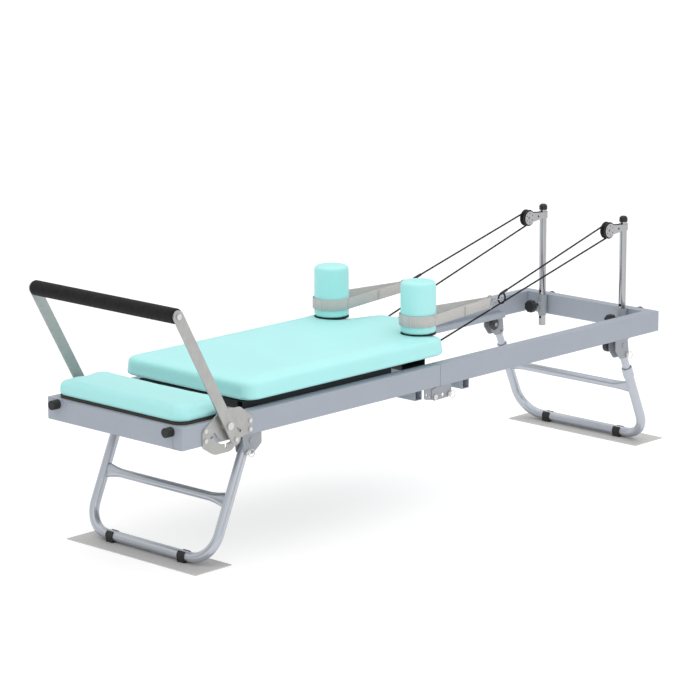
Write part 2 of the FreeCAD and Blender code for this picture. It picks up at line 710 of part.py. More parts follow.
def along_y(at, radius, start, length):
    return rod(V(at.x, start, at.z), Y_AXIS, radius, length)


grip_tube = along_y(GRIP, size.grip_tube_radius, -size.arm_y, grip_length).cut(
    along_y(GRIP, size.grip_tube_radius - 2.5, -size.arm_y, grip_length))
node("footbar_tube", coded("footbar_tube", grip_tube))
foam = along_y(GRIP, size.grip_radius, -size.arm_y + 1.5, grip_length - 3)
foam = foam.makeFillet(5, [e for e in foam.Edges if e.BoundBox.YLength < 1e-6])
foam = foam.cut(along_y(GRIP, size.grip_tube_radius, -size.arm_y, grip_length))
node("footbar_grip", coded("footbar_grip", foam))


def footbar_bolts():
    """The near grip bolt and the locking peg, each with its head outside the arm."""
    outer = -size.arm_y - size.arm_wall
    grip_bolt = along_y(GRIP, 5, outer, 24).fuse(along_y(GRIP, 9, outer - 4, 4))
    peg_at = PIVOT - ALONG * size.slot_reach
    peg_end = -size.half_width - size.running_gap
    peg = along_y(peg_at, 4, outer, peg_end - outer).fuse(along_y(peg_at, 7, outer - 4, 4))
    return [grip_bolt, peg]


def pivot_bush():
    """The near pivot bush: fixed in the arm, turning in the adjuster plate, with a spacer between them."""
    outer, plate_face = -size.arm_y - size.arm_wall, -size.half_width - size.adjuster_wall
    bush = along_y(PIVOT, size.pivot_radius, outer, -size.half_width - size.running_gap - outer)
    spacer = along_y(PIVOT, size.pivot_radius + 5, -size.arm_y, plate_face - size.running_gap + size.arm_y)
    head = along_y(PIVOT, size.pivot_radius + 4, outer - 5, 5)
    return bush.fuse(spacer).fuse(head).removeSplitter()


near_bolts = footbar_bolts() + [pivot_bush()]
far_bolts = [solid.mirror(V(), Y_AXIS) for solid in near_bolts]
node("footbar_bolts", coded("footbar_bolts", Part.makeCompound(near_bolts + far_bolts)))

# ---------------------------------------------------------------- fold


def fold_plate(points, thickness, face_y, holes):
    plate = turned_plate(points, thickness)
    for x, z, radius in holes:
        plate = plate.cut(rod(V(x, 0, z), Y_AXIS, radius, thickness))
    plate.translate(V(0, face_y, 0))
    return plate


hx, hz, wall = size.hinge_x, size.hinge_z, size.plate_wall
rail_low = size.rail_top - size.rail_height
INNER_FACE = -size.half_width + wall + size.running_gap
front_plate = fold_plate(
    [(hx - 46, rail_low, 1), (hx - 46, hz - 2, 8), (hx + 12, hz - 12, 11), (hx + 12, rail_low, 1)],
    wall, INNER_FACE, [(hx, hz, size.hinge_bolt_radius), (hx - 36, hz + 12, 4), (hx - 22, hz + 2, 3)])
plate_top, join_x = rail_low - 0.5, size.seam_x + 2
rear_plate = fold_plate(
    [(hx - 14, hz + 26, 4), (hx - 14, hz - 12, 13), (hx + 79, hz - 9, 10), (hx + 79, rail_low, 1),
     (join_x, rail_low, 0.2), (join_x, plate_top, 0.2), (hx + 6, plate_top, 3)],
    wall, -size.half_width, [(hx, hz, size.hinge_bolt_radius + size.bearing_gap), (hx + 38, hz + 2, 6),
                             (hx + 65, hz, size.pin_radius + size.bearing_gap)])
node("front_fold_plates", pair(coded("front_fold_plate", front_plate)))
node("rear_fold_plates", pair(coded("rear_fold_plate", rear_plate)))
bolt = rod(V(hx, -size.half_width - 0.3, hz), Y_AXIS, size.hinge_bolt_radius, 2 * wall + 2)
bolt = bolt.fuse(rod(V(hx, -size.half_width - 4.3, hz), Y_AXIS, 9, 4))
bolt = bolt.fuse(rod(V(hx, INNER_FACE + wall, hz), Y_AXIS, 9, 5)).removeSplitter()
node("fold_hinge_bolts", pair(coded("fold_hinge_bolt", bolt)))


def pull_pin(at, outer_y, depth, collar_radius):
    """A spring-loaded pin on the near side with its knurled collar and a wire ring on its outer end."""
    pin = rod(V(at.x, outer_y - 9, at.z), Y_AXIS, size.pin_radius, depth + 9)
    collar = rod(V(at.x, outer_y - 7, at.z), Y_AXIS, collar_radius, 6.7)
    ring = Part.makeTorus(12, 1.2, V(at.x + 11, outer_y - 8.0, at.z - 3), Y_AXIS)
    return pin.fuse(collar).fuse(ring).removeSplitter()


# ---------------------------------------------------------------- legs


def leg_tube(name, x, lean_size, reach, y, top):
    """A bent round tube, two legs joined by the floor bar, with bores for its pivot bolts and lock pins."""
    owner = body(named(name))
    path = sketch(owner, "YZ_Plane")
    w, bend, low = y, size.leg_bend, -reach
    k = bend * (1 - math.sqrt(0.5))
    path.addGeometry([
        Part.LineSegment(V(-w, top, 0), V(-w, low + bend, 0)),
        Part.Arc(V(-w, low + bend, 0), V(-w + k, low + k, 0), V(-w + bend, low, 0)),
        Part.LineSegment(V(-w + bend, low, 0), V(w - bend, low, 0)),
        Part.Arc(V(w - bend, low, 0), V(w - k, low + k, 0), V(w, low + bend, 0)),
        Part.LineSegment(V(w, low + bend, 0), V(w, top, 0)),
    ])
    ring = sketch(owner, "XY_Plane")
    ring.AttachmentOffset = FreeCAD.Placement(V(0, 0, top), FreeCAD.Rotation())
    circle(ring, 0, -w, "leg_radius")
    circle(ring, 0, -w, "leg_radius - leg_wall")
    pipe = owner.newObject("PartDesign::AdditivePipe", named("pipe"))
    pipe.Profile = ring
    pipe.Spine = (path, [f"Edge{i}" for i in range(1, 6)])
    owner.Placement = FreeCAD.Placement(V(), FreeCAD.Rotation(Y_AXIS, 1))
    owner.setExpression("Placement.Rotation.Angle", linked(lean_size))
    return place(owner, x, 0, "leg_pivot_z")


def brace(half_width, drop, radius):
    """A round cross tube whose ends are pressed flat and wide against the legs, about the pivot line."""
    flare, inner, flat_height, flat_width = 60, half_width - radius, 23, 7
    sections = []
    for side, shares in ((-1, (1.0, 0.8, 0.4, 0.0)), (1, (0.0, 0.4, 0.8, 1.0))):
        for share in shares:
            grow = share * share * (3 - 2 * share)
            tall = size.brace_radius + 0.01 + (flat_height - size.brace_radius) * grow
            thin = size.brace_radius - (size.brace_radius - flat_width) * grow
            at = V(0, side * (inner - flare + (flare + 6) * share), -drop)
            sections.append(Part.Wire(Part.Ellipse(at + V(0, 0, tall), at + V(thin, 0, 0), at).toShape()))
    solid = Part.makeLoft(sections, True, True)
    for side in (-1, 1):
        leg = Part.makeCylinder(radius, 4 * flat_height, V(0, side * half_width, -drop - 2 * flat_height))
        solid = solid.cut(leg)
    return solid


def leaned(shape, x, angle):
    """Turns a shape drawn about the pivot line to a leg's lean and puts it at the leg's pivot."""
    shape.rotate(V(), Y_AXIS, angle)
    shape.translate(V(x, 0, size.leg_pivot_z))
    return shape


def leg_reach(angle):
    foot = size.floor_plate_wall + size.saddle_wall + size.leg_radius
    return (size.leg_pivot_z - foot) / math.cos(math.radians(angle))


def below_pivot(x, drop, angle):
    """The point a distance down a leg from its pivot. The angle is positive where the foot leans to -X."""
    turn = math.radians(angle)
    return V(x - drop * math.sin(turn), 0, size.leg_pivot_z - drop * math.cos(turn))


def bored(base, at, radius):
    """Cuts a bore along Y right through a piece."""
    return cut(base, cylinder(at.x, -size.half_width, at.z, radius, 2 * size.half_width, "y"))


pivot_bore, pin_bore = "pin_radius + 1.05", "pin_radius + running_gap"
front_pin = below_pivot(size.front_leg_x, size.pin_drop, size.front_leg_lean)
front_tube = leg_tube("front_leg", "front_leg_x", "front_leg_lean", leg_reach(size.front_leg_lean),
                      size.front_leg_y, 5)
front_tube = bored(front_tube, V(size.front_leg_x, 0, size.leg_pivot_z), pivot_bore)
front_tube = bored(front_tube, front_pin, pin_bore)
front_brace = leaned(brace(size.front_leg_y, size.brace_drop, size.leg_radius), size.front_leg_x,
                     size.front_leg_lean)
node("front_leg_tube", group(front_tube, coded("front_brace", front_brace)))

COLLAR_TOP, COLLAR_LENGTH, COLLAR_WALL, STRUT_END = 96, 36, 2.5, 200
rear_reach = leg_reach(size.rear_leg_lean)
rear_tube = leg_tube("rear_leg", "rear_leg_x", "-rear_leg_lean", rear_reach, size.rear_leg_y, -COLLAR_TOP)
rear_brace = leaned(brace(size.rear_leg_y, size.rear_brace_drop, size.leg_radius), size.rear_leg_x,
                    -size.rear_leg_lean)
collar_at = V(0, -size.rear_leg_y, -COLLAR_TOP - COLLAR_LENGTH)
collar = rod(collar_at, Z_AXIS, size.leg_radius + COLLAR_WALL, COLLAR_LENGTH)
collar = collar.cut(rod(collar_at, Z_AXIS, size.leg_radius, COLLAR_LENGTH))
collar = coded("collar", leaned(collar, size.rear_leg_x, -size.rear_leg_lean))
node("rear_leg_tube", group(rear_tube, coded("rear_brace", rear_brace), collar, mirrored(collar)))
strut_length = STRUT_END + 8
strut = rod(V(0, -size.rear_leg_y, -STRUT_END), Z_AXIS, size.strut_radius, strut_length)
strut = strut.cut(rod(V(0, -size.rear_leg_y, -STRUT_END), Z_AXIS, size.strut_radius - 2, strut_length))
strut = strut.cut(rod(V(0, -size.half_width, 0), Y_AXIS, size.pin_radius + 1.05, 60))
strut = strut.cut(rod(V(0, -size.half_width, -size.pin_drop), Y_AXIS, size.pin_radius + size.running_gap, 60))
strut = leaned(strut, size.rear_leg_x, -size.rear_leg_lean)
node("rear_leg_struts", pair(coded("rear_strut", strut)))


def floor_plate(name, foot_x, start):
    node(name, box(f"{foot_x} - {start}", "-mat_half_width", 0, "floor_plate_length", "2 * mat_half_width",
                   "floor_plate_wall", label=name))


def foot_saddles(name, foot_x):
    """Black clips that hold the floor bar to the plate and let it turn."""
    y = "-saddle_y - saddle_width / 2"
    outer = fuse(cylinder(foot_x, y, LEG_FOOT_Z, "leg_radius + saddle_wall - 0.2", "saddle_width", "y"),
                 box(f"{foot_x} - saddle_length / 2", y, "floor_plate_wall", "saddle_length",
                     "saddle_width", "leg_radius"))
    bore = cylinder(foot_x, f"{y} - 1", LEG_FOOT_Z, "leg_radius + running_gap", "saddle_width + 2", "y")
    mouth = box(f"{foot_x} - saddle_mouth / 2", f"{y} - 1", LEG_FOOT_Z, "saddle_mouth",
                "saddle_width + 2", "2 * leg_radius")
    node(name, pair(cut(outer, bore, mouth)))


floor_plate("front_floor_plate", FRONT_FOOT_X, 77)
floor_plate("rear_floor_plate", REAR_FOOT_X, 68)
foot_saddles("front_foot_saddles", FRONT_FOOT_X)
foot_saddles("rear_foot_saddles", REAR_FOOT_X)


def ear(corners, y, holes):
    """One upright bracket plate under the near rail. Corners are (x, z, radius) and holes (x, z, radius)."""
    plate = turned_plate(corners, size.ear_wall)
    for x, z, radius in holes:
        plate = plate.cut(rod(V(x, 0, z), Y_AXIS, radius, size.ear_wall))
    plate.translate(V(0, y, 0))
    return plate


def leg_bracket(name, leg_x, leg_y, radius, corners, pin, extra=()):
    """Two ears and a top plate under the rail, with the leg's pivot bolt through them."""
    gap, wall = radius + size.running_gap, size.ear_wall
    outer, inner = -leg_y - gap - wall, -leg_y + gap
    holes = [(pin.x, pin.z, size.pin_radius + size.bearing_gap)]
    solid = ear(corners, outer, holes).fuse(ear(corners, inner, holes))
    left = min(x for x, z, r in corners) + 1
    right = max(x for x, z, r in corners) - 1
    solid = solid.fuse(Part.makeBox(right - left, inner + wall - outer, 2, V(left, outer, rail_low - 2)))
    pivot = rod(V(leg_x, outer - 4, size.leg_pivot_z), Y_AXIS, size.pin_radius + 1,
                inner - outer + wall + 6)
    pivot = pivot.fuse(rod(V(leg_x, outer - 4, size.leg_pivot_z), Y_AXIS, 8, 4))
    solid = solid.fuse(pivot)
    for shape in extra:
        solid = solid.fuse(shape)
    node(name, pair(coded(name, solid.removeSplitter())))
    return outer


fx, rx, low = size.front_leg_x, size.rear_leg_x, rail_low
front_ear = [(fx - 34, low, 1), (fx - 26, 334, 13), (fx + 8, 334, 13), (fx + 46, 362, 12), (fx + 46, low, 1)]
front_outer = leg_bracket("front_leg_brackets", fx, size.front_leg_y, size.leg_radius, front_ear, front_pin)
rear_pin = below_pivot(rx, size.pin_drop, -size.rear_leg_lean)
rear_ear = [(rx - 43, low, 1), (rx - 43, 362, 8), (rx - 18, 330, 14), (rx + 30, 330, 14), (rx + 22, low, 1)]
axle_at = V(size.transport_x, -size.rear_leg_y + size.strut_radius, size.transport_z)
wheel_axle = rod(axle_at, Y_AXIS, 4, 25).fuse(rod(axle_at + V(0, 22, 0), Y_AXIS, 7, 3))
rear_outer = leg_bracket("rear_leg_brackets", rx, size.rear_leg_y, size.strut_radius, rear_ear, rear_pin,
                         extra=(wheel_axle,))
transport_at = axle_at + V(0, size.running_gap + size.ear_wall + 0.5, 0)
transport = rod(transport_at, Y_AXIS, size.transport_radius, 17)
transport = transport.makeFillet(4, [e for e in transport.Edges if e.BoundBox.YLength < 1e-6])
transport = transport.cut(rod(transport_at, Y_AXIS, 4 + size.bearing_gap, 17))
node("transport_wheels", pair(coded("transport_wheel", transport)))

PIN_STARTS = {
    "front_leg": (front_pin, front_outer, size.ear_wall), "rear_leg": (rear_pin, rear_outer, size.ear_wall),
    "fold": (V(hx + 65, 0, hz), -size.half_width, wall + 2),
}
for pin_name, (at, outer_y, depth) in PIN_STARTS.items():
    near_pin = coded(f"{pin_name}_pin", pull_pin(at, outer_y, depth, 8))
    node(f"{pin_name}_pin_near", near_pin)
    node(f"{pin_name}_pin_far", mirrored(near_pin))

# ---------------------------------------------------------------- risers


def socket():
    """The near riser socket: a flat-backed tube on the end beam with a tapered foot and a knob boss."""
    at, low_z, top_z = V(size.riser_x, -size.riser_y, 0), size.socket_bottom, size.rail_top + 1
    outer = Part.makeCylinder(size.socket_radius, top_z - low_z - 14, at + V(0, 0, low_z + 14))
    outer = outer.fuse(Part.makeCone(size.socket_radius - 4, size.socket_radius, 14, at + V(0, 0, low_z)))
    outer = outer.fuse(rod(at + V(-size.socket_radius - 10, 0, size.knob_z), X_AXIS, 9, 20))
    back = Part.makeBox(60, 80, 200, V(size.frame_length - size.rail_width, -size.riser_y - 40, low_z - 20))
    bore = Part.makeCylinder(size.riser_radius + 0.1, 200, at + V(0, 0, low_z - 20))
    screw = rod(at + V(-size.socket_radius - 40, 0, size.knob_z), X_AXIS, 5 + size.bearing_gap, 50)
    return outer.cut(back).cut(bore).cut(screw)


node("riser_sockets", pair(coded("riser_socket", socket())))


def riser(y):
    """A post: a round tube with three holes at its lower end for the star knob's pin."""
    at = V(size.riser_x, y, size.riser_bottom)
    length = size.riser_top - size.riser_bottom
    post = Part.makeCylinder(size.riser_radius, length, at)
    post = post.cut(Part.makeCylinder(size.riser_radius - size.riser_wall, length, at))
    for step in (-1, 0, 1):
        hole = V(size.riser_x - 30, y, size.knob_z + step * size.hole_pitch)
        post = post.cut(rod(hole, X_AXIS, 5, 30))
    return post


def riser_cap(y):
    at = V(size.riser_x, y, size.riser_top)
    plug = Part.makeCylinder(size.riser_radius - size.riser_wall, 12, at - V(0, 0, 12))
    dome = Part.makeCylinder(size.riser_radius + 2, size.cap_height, at)
    dome = dome.makeFillet(size.riser_radius - 2, [e for e in dome.Edges if e.BoundBox.ZMin > at.z + 1])
    return plug.fuse(dome)


def pulley_fork(y):
    """Two cheek plates each side of the wheel, with an axle, a spacer and a collar round the post."""
    wall, half = 3, size.pulley_width / 2 + 0.5
    x, z, post = size.pulley_x, size.pulley_z, size.riser_x
    solid = None
    for side in (-1, 1):
        disc = rod(V(x, 0, z), Y_AXIS, 24, wall)
        neck = turned_plate([(x, z - 18, 3), (x, z + 18, 3), (post - 6, z + 10, 2), (post - 6, z - 10, 2)],
                            wall)
        cheek = disc.fuse(neck).cut(rod(V((x + post) / 2 + 4, 0, z), Y_AXIS, 4.5, wall))
        for turn in range(6):
            angle = math.radians(60 * turn + 30)
            hole = V(x + 16 * math.cos(angle), 0, z + 16 * math.sin(angle))
            cheek = cheek.cut(rod(hole, Y_AXIS, 2, wall))
        cheek.translate(V(0, y + (half if side > 0 else -half - wall), 0))
        solid = cheek if solid is None else solid.fuse(cheek)
    axle = rod(V(x, y - half - wall - 3, z), Y_AXIS, 5, 2 * (half + wall + 3))
    spacer = Part.makeBox(16, 2 * half, 16, V(post - size.riser_radius - 18, y - half, z - 8))
    clamp = Part.makeCylinder(size.riser_radius + 3.5, 22, V(post, y, z - 11))
    post_hole = Part.makeCylinder(size.riser_radius, 80, V(post, y, z - 40))
    return solid.fuse(axle).fuse(spacer).fuse(clamp).cut(post_hole).removeSplitter()


def pulley_wheel(y):
    """A grooved wheel turned about its axle."""
    half, groove = size.pulley_width / 2, size.groove_radius
    outer, bore, rope = size.pulley_radius, 5 + size.bearing_gap, size.rope_radius
    points = [V(bore, -half, 0), V(outer, -half, 0), V(outer, -half + 2, 0), V(groove, -rope - 0.4, 0),
              V(groove, rope + 0.4, 0), V(outer, half - 2, 0), V(outer, half, 0), V(bore, half, 0)]
    face = Part.Face(Part.makePolygon(points + [points[0]]))
    wheel = face.revolve(V(), Y_AXIS, 360)
    wheel.translate(V(size.pulley_x, y, size.pulley_z))
    return wheel


def star_knob(y):
    """An eight-lobed knob with its threaded stud, on the foot side of the socket."""
    start = size.riser_x - size.socket_radius - 36
    radius, lobes, thick = size.knob_radius, 8, 20
    knob = rod(V(start - thick, y, size.knob_z), X_AXIS, radius, thick)
    knob = knob.makeFillet(3, [e for e in knob.Edges if e.BoundBox.XLength < 1e-6])
    for turn in range(lobes):
        angle, out = 2 * math.pi * turn / lobes, radius + 2.6
        at = V(start - thick - 1, y + out * math.cos(angle), size.knob_z + out * math.sin(angle))
        knob = knob.cut(rod(at, X_AXIS, 6, thick + 2))
    hub = rod(V(start, y, size.knob_z), X_AXIS, 8, 1.5)
    stud = rod(V(start, y, size.knob_z), X_AXIS, 5, size.riser_x - size.riser_radius - 2.5 - start)
    return knob.fuse(hub).fuse(stud).removeSplitter()


def rope_points(side):
    """Where a rope leaves its cleat, meets and leaves the pulley's groove, and meets its own eye."""
    turn_radius = size.groove_radius + size.rope_radius + size.running_gap
    wheel = V(size.pulley_x, side * size.riser_y, size.pulley_z)
    cleat_end = V(size.cleat_x - 8, side * size.cleat_y, size.cleat_z - 1)
    eye = V(size.ring_x + EYE_X, side * size.rest_y, EYE_Z)

    def tangent(point, radius, below):
        """The slope angle of the line from a point to a circle of that radius about the wheel."""
        dx, dz = wheel.x - point.x, wheel.z - point.z
        shift = math.asin(radius / math.hypot(dx, dz))
        return math.atan2(dz, dx) - shift if below else math.atan2(dz, dx) + shift

    low_angle = tangent(cleat_end, turn_radius, True)
    high_angle = tangent(eye, turn_radius - EYE_RADIUS, False)
    low_touch = wheel + V(math.sin(low_angle), 0, -math.cos(low_angle)) * turn_radius
    high_touch = wheel + V(-math.sin(high_angle), 0, math.cos(high_angle)) * turn_radius
    eye_touch = eye + V(-math.sin(high_angle), 0, math.cos(high_angle)) * EYE_RADIUS
    middle = (low_angle + high_angle) / 2
    far_point = wheel + V(math.cos(middle), 0, math.sin(middle)) * turn_radius
    return cleat_end, low_touch, far_point, high_touch, eye_touch, eye


def rope(side):
    """A rope from its cleat round the pulley to an eye that the snap hook passes through."""
    cleat_end, low_touch, far_point, high_touch, eye_touch, eye = rope_points(side)
    radius = size.rope_radius
    run_low = rod(cleat_end, low_touch - cleat_end, radius, (low_touch - cleat_end).Length)
    run_high = rod(high_touch, eye_touch - high_touch, radius, (eye_touch - high_touch).Length)
    arc = Part.Wire(Part.Arc(low_touch, far_point, high_touch).toShape())
    tangent_at_start = arc.Edges[0].tangentAt(arc.Edges[0].FirstParameter)
    ring = Part.Wire(Part.Circle(low_touch, tangent_at_start, radius).toShape())
    bend = arc.makePipeShell([ring], True, False)
    eye_ring = Part.makeTorus(EYE_RADIUS, radius, eye, Y_AXIS)
    solid = run_low.fuse(bend).fuse(run_high).fuse(eye_ring)
    for corner in (low_touch, high_touch, eye_touch):
        solid = solid.fuse(Part.makeSphere(radius, corner))
    along = (high_touch - eye_touch).normalize()
    sleeve = rod(eye_touch + along * 6, along, radius + 1.5, 26)
    return solid.fuse(sleeve).removeSplitter()


for label, side in SIDES:
    y = side * size.riser_y
    node(f"riser_{label}", coded("riser", riser(y)))
    node(f"riser_cap_{label}", coded("riser_cap", riser_cap(y)))
    node(f"pulley_fork_{label}", coded("pulley_fork", pulley_fork(y)))
    node(f"pulley_wheel_{label}", coded("pulley_wheel", pulley_wheel(y)))
    node(f"riser_knob_{label}", coded("riser_knob", star_knob(y)))
    node(f"rope_{label}", coded("rope", rope(side)))

# ---------------------------------------------------------------- write

doc.recompute()
bad = [o.Label for o in doc.Objects if "Invalid" in o.State or "Error" in o.State]
assert not bad, f"objects failed: {bad}"
for name, thing in NODES.items():
    shape = thing.Shape
    assert not shape.isNull() and shape.Solids and shape.isValid(), f"{name} has no valid shape"
os.makedirs("parts", exist_ok=True)
for name, thing in NODES.items():
    thing.Shape.exportStep(f"parts/{name}.step")
whole = Part.makeCompound([thing.Shape for thing in NODES.values()]).BoundBox
print(len(NODES), "nodes; box", [round(v, 1) for v in (whole.XMin, whole.XMax, whole.YMin, whole.YMax,
                                                        whole.ZMin, whole.ZMax)])
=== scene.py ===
"""Looks for the folding pilates reformer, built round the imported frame. Metres, in the frame's own axes."""
import bpy
import json
import math
from mathutils import Matrix, Vector


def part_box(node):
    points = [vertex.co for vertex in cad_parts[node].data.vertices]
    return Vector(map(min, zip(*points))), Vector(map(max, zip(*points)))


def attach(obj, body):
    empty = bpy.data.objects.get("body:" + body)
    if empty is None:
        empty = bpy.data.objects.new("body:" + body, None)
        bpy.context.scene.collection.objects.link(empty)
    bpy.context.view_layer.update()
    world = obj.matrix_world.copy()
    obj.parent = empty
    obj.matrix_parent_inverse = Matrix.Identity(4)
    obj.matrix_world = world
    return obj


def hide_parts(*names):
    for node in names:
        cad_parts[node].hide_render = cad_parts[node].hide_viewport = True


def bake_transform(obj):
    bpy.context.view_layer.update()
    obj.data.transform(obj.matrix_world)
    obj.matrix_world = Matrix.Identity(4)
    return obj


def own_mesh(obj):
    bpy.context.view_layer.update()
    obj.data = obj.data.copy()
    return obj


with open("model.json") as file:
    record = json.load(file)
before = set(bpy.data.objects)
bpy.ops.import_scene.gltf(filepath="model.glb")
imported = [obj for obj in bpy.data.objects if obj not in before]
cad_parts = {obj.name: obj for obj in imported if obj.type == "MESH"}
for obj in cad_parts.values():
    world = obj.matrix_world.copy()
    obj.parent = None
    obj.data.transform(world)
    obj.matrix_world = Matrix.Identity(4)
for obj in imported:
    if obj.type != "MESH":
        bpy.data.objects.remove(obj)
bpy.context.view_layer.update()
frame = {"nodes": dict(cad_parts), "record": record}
NODES = frame["nodes"]
SIDES = (("near", -1), ("far", 1))
X_AXIS, Y_AXIS, Z_AXIS = Vector((1, 0, 0)), Vector((0, 1, 0)), Vector((0, 0, 1))
scene = bpy.context.scene

# ---------------------------------------------------------------- camera

CAMERA_AT = Vector((-7.0319, -6.5862, 2.6337))
CAMERA_AIM = Vector((-0.1022, 0.0, 0.4876))
CAMERA_ROLL = math.radians(-0.2045)
LENS_MM, SENSOR_MM = 154.93, 36.0
CLIP_NEAR, CLIP_FAR = 0.5, 100.0


def add_camera():
    """A long lens from the foot end's near side, a little above the machine."""
    data = bpy.data.cameras.new("camera")
    data.lens, data.sensor_width = LENS_MM, SENSOR_MM
    data.clip_start, data.clip_end = CLIP_NEAR, CLIP_FAR
    camera = bpy.data.objects.new("camera", data)
    scene.collection.objects.link(camera)
    ahead = (CAMERA_AIM - CAMERA_AT).normalized()
    right = ahead.cross(Z_AXIS).normalized()
    up = right.cross(ahead)
    turned = right * math.cos(CAMERA_ROLL) + up * math.sin(CAMERA_ROLL)
    raised = up * math.cos(CAMERA_ROLL) - right * math.sin(CAMERA_ROLL)
    axes = Matrix((turned, raised, -ahead)).transposed().to_4x4()
    camera.matrix_world = Matrix.Translation(CAMERA_AT) @ axes
    scene.camera = camera


add_camera()

# ---------------------------------------------------------------- places read from the frame


def middle(node):
    """The centre of a node's box."""
    low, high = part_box(node)
    return (low + high) / 2


ROPE_RADIUS = 0.003
GROOVE_RADIUS = 0.0243
EYE_RADIUS = 0.017
EYE_LIFT = 0.004
RING_TO_EYE = 0.0705
CLEAT_INSET = 0.008
CLEAT_HALF = 0.012
CLEAT_RISE = 0.010
SLEEVE_LENGTH = 0.034
SLEEVE_OVERLAP = 0.004
SLEEVE_RADIUS = 0.0047
SLEEVE_STEP = 0.001
SLEEVE_SIDES = 20


def rope_route(label):
    """Where a rope leaves its cleat, its corners round the pulley, and the middle of its end eye."""
    wheel = middle(f"pulley_wheel_{label}")
    side = 1 if wheel.y > 0 else -1
    cleats_low, cleats_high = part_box("rope_cleats")
    cleat = Vector((cleats_high.x - CLEAT_INSET, side * (cleats_high.y - CLEAT_HALF),
                    cleats_low.z + CLEAT_RISE))
    ring_low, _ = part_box(f"strap_ring_{label}")
    ring = middle(f"strap_ring_{label}")
    eye = Vector((ring_low.x + RING_TO_EYE, ring.y, ring.z + EYE_LIFT))

    def angle_to(point, radius):
        across, rise = wheel.x - point.x, wheel.z - point.z
        return math.atan2(rise, across) + math.asin(radius / math.hypot(across, rise))

    low_angle = angle_to(cleat, -GROOVE_RADIUS)
    high_angle = angle_to(eye, GROOVE_RADIUS - EYE_RADIUS)
    return wheel, cleat, eye, low_angle, high_angle


def round_wheel(wheel, radius, low_angle, high_angle, corners):
    """Corners of the path round the pulley, from its underside over its riser side to its top."""
    first, last = low_angle - math.pi / 2, high_angle + math.pi / 2
    step = (last - first) / corners
    reach = radius / math.cos(step / 2)
    angles = [first + step * (i + 0.5) for i in range(corners)]
    return [wheel + Vector((math.cos(a), 0, math.sin(a))) * reach for a in angles]


# ---------------------------------------------------------------- mesh helpers


def link(name, mesh, smooth=True):
    thing = bpy.data.objects.new(name, mesh)
    scene.collection.objects.link(thing)
    if smooth:
        mesh.shade_smooth()
    return thing


def mesh_of(name, points, faces):
    mesh = bpy.data.meshes.new(name)
    mesh.from_pydata(points, [], faces)
    mesh.update()
    return mesh


def lofted(name, rings, closed=False, capped=True):
    """A skin over rings of points, each ring a closed loop with as many points as the next."""
    count = len(rings[0])
    points = [p for ring in rings for p in ring]
    faces = []
    for i in range(len(rings) if closed else len(rings) - 1):
        here, there = i * count, (i + 1) % len(rings) * count
        for k in range(count):
            follow = (k + 1) % count
            faces.append((here + k, here + follow, there + follow, there + k))
    if capped and not closed:
        faces.append(tuple(reversed(range(count))))
        faces.append(tuple(range((len(rings) - 1) * count, len(rings) * count)))
    return mesh_of(name, points, faces)


def carried(points, start):
    """Two directions across a path at each of its points, turned as little as possible along it."""
    across = start
    frames = []
    for i, point in enumerate(points):
        ahead = (points[min(i + 1, len(points) - 1)] - points[max(i - 1, 0)]).normalized()
        across = (across - ahead * across.dot(ahead)).normalized()
        frames.append((across, ahead.cross(across)))
    return frames


def tube(name, points, radius, sides, start, wave=None):
    """A round tube along points. wave(turn, step) scales its radius, for a braid's strands."""
    rings = []
    for i, (point, (side, up)) in enumerate(zip(points, carried(points, start))):
        ring = []
        for k in range(sides):
            turn = 2 * math.pi * k / sides
            reach = radius * (wave(turn, i) if wave else 1)
            ring.append(point + side * (math.cos(turn) * reach) + up * (math.sin(turn) * reach))
        rings.append(ring)
    return lofted(name, rings)


def spline_points(route, resolution):
    """Points read along a smooth curve whose control points are the route."""
    curve = bpy.data.curves.new("route", "CURVE")
    curve.dimensions = "3D"
    curve.resolution_u = resolution
    spline = curve.splines.new("NURBS")
    spline.points.add(len(route) - 1)
    for point, place in zip(spline.points, route):
        point.co = (*place, 1)
    spline.order_u = 3
    spline.use_endpoint_u = True
    holder = bpy.data.objects.new("route", curve)
    scene.collection.objects.link(holder)
    made = bpy.data.meshes.new_from_object(holder)
    places = [v.co.copy() for v in made.vertices]
    bpy.data.objects.remove(holder)
    bpy.data.meshes.remove(made)
    bpy.data.curves.remove(curve)
    return places


def evened(points, step):
    """The same path with points a step apart."""
    made, carry = [points[0]], 0.0
    for a, b in zip(points, points[1:]):
        span = (b - a).length
        place = step - carry
        while place <= span:
            made.append(a.lerp(b, place / span))
            place += step
        carry = (carry + span) % step if span >= step - carry else carry + span
    if (made[-1] - points[-1]).length > step * 0.3:
        made.append(points[-1])
    else:
        made[-1] = points[-1]
    return made


# ---------------------------------------------------------------- ropes

STRANDS, STRAND_RELIEF, STRAND_PITCH = 8, 0.045, 0.9
ROPE_STEP, ROPE_SIDES = 0.0015, 16
CURVE_STEPS = 24
TURN_CORNERS = 5
EYE_POINTS = 72


def braid(turn, step):
    """Strands crossing on a rope's skin, as many leaning one way as the other."""
    slide = step * STRAND_PITCH
    return 1.0 + STRAND_RELIEF * math.sin(STRANDS * turn + slide) * math.sin(STRANDS * turn - slide)


def thirds(start, end):
    """A straight route with two points between its ends."""
    return [start, start.lerp(end, 0.33), start.lerp(end, 0.67), end]


def sleeve_skin(count):
    """The sleeve's radius along its steps: tapered ends and a shallow crimp every seventh step."""
    def skin(turn, step):
        taper = 0.82 + 0.18 * min(1.0, min(step, count - 1 - step) / 3)
        return taper - (0.05 if step % 7 == 3 else 0.0)
    return skin


def rope_piece(name, points):
    return link(name, tube(name, evened(points, ROPE_STEP), ROPE_RADIUS, ROPE_SIDES, Y_AXIS, braid))


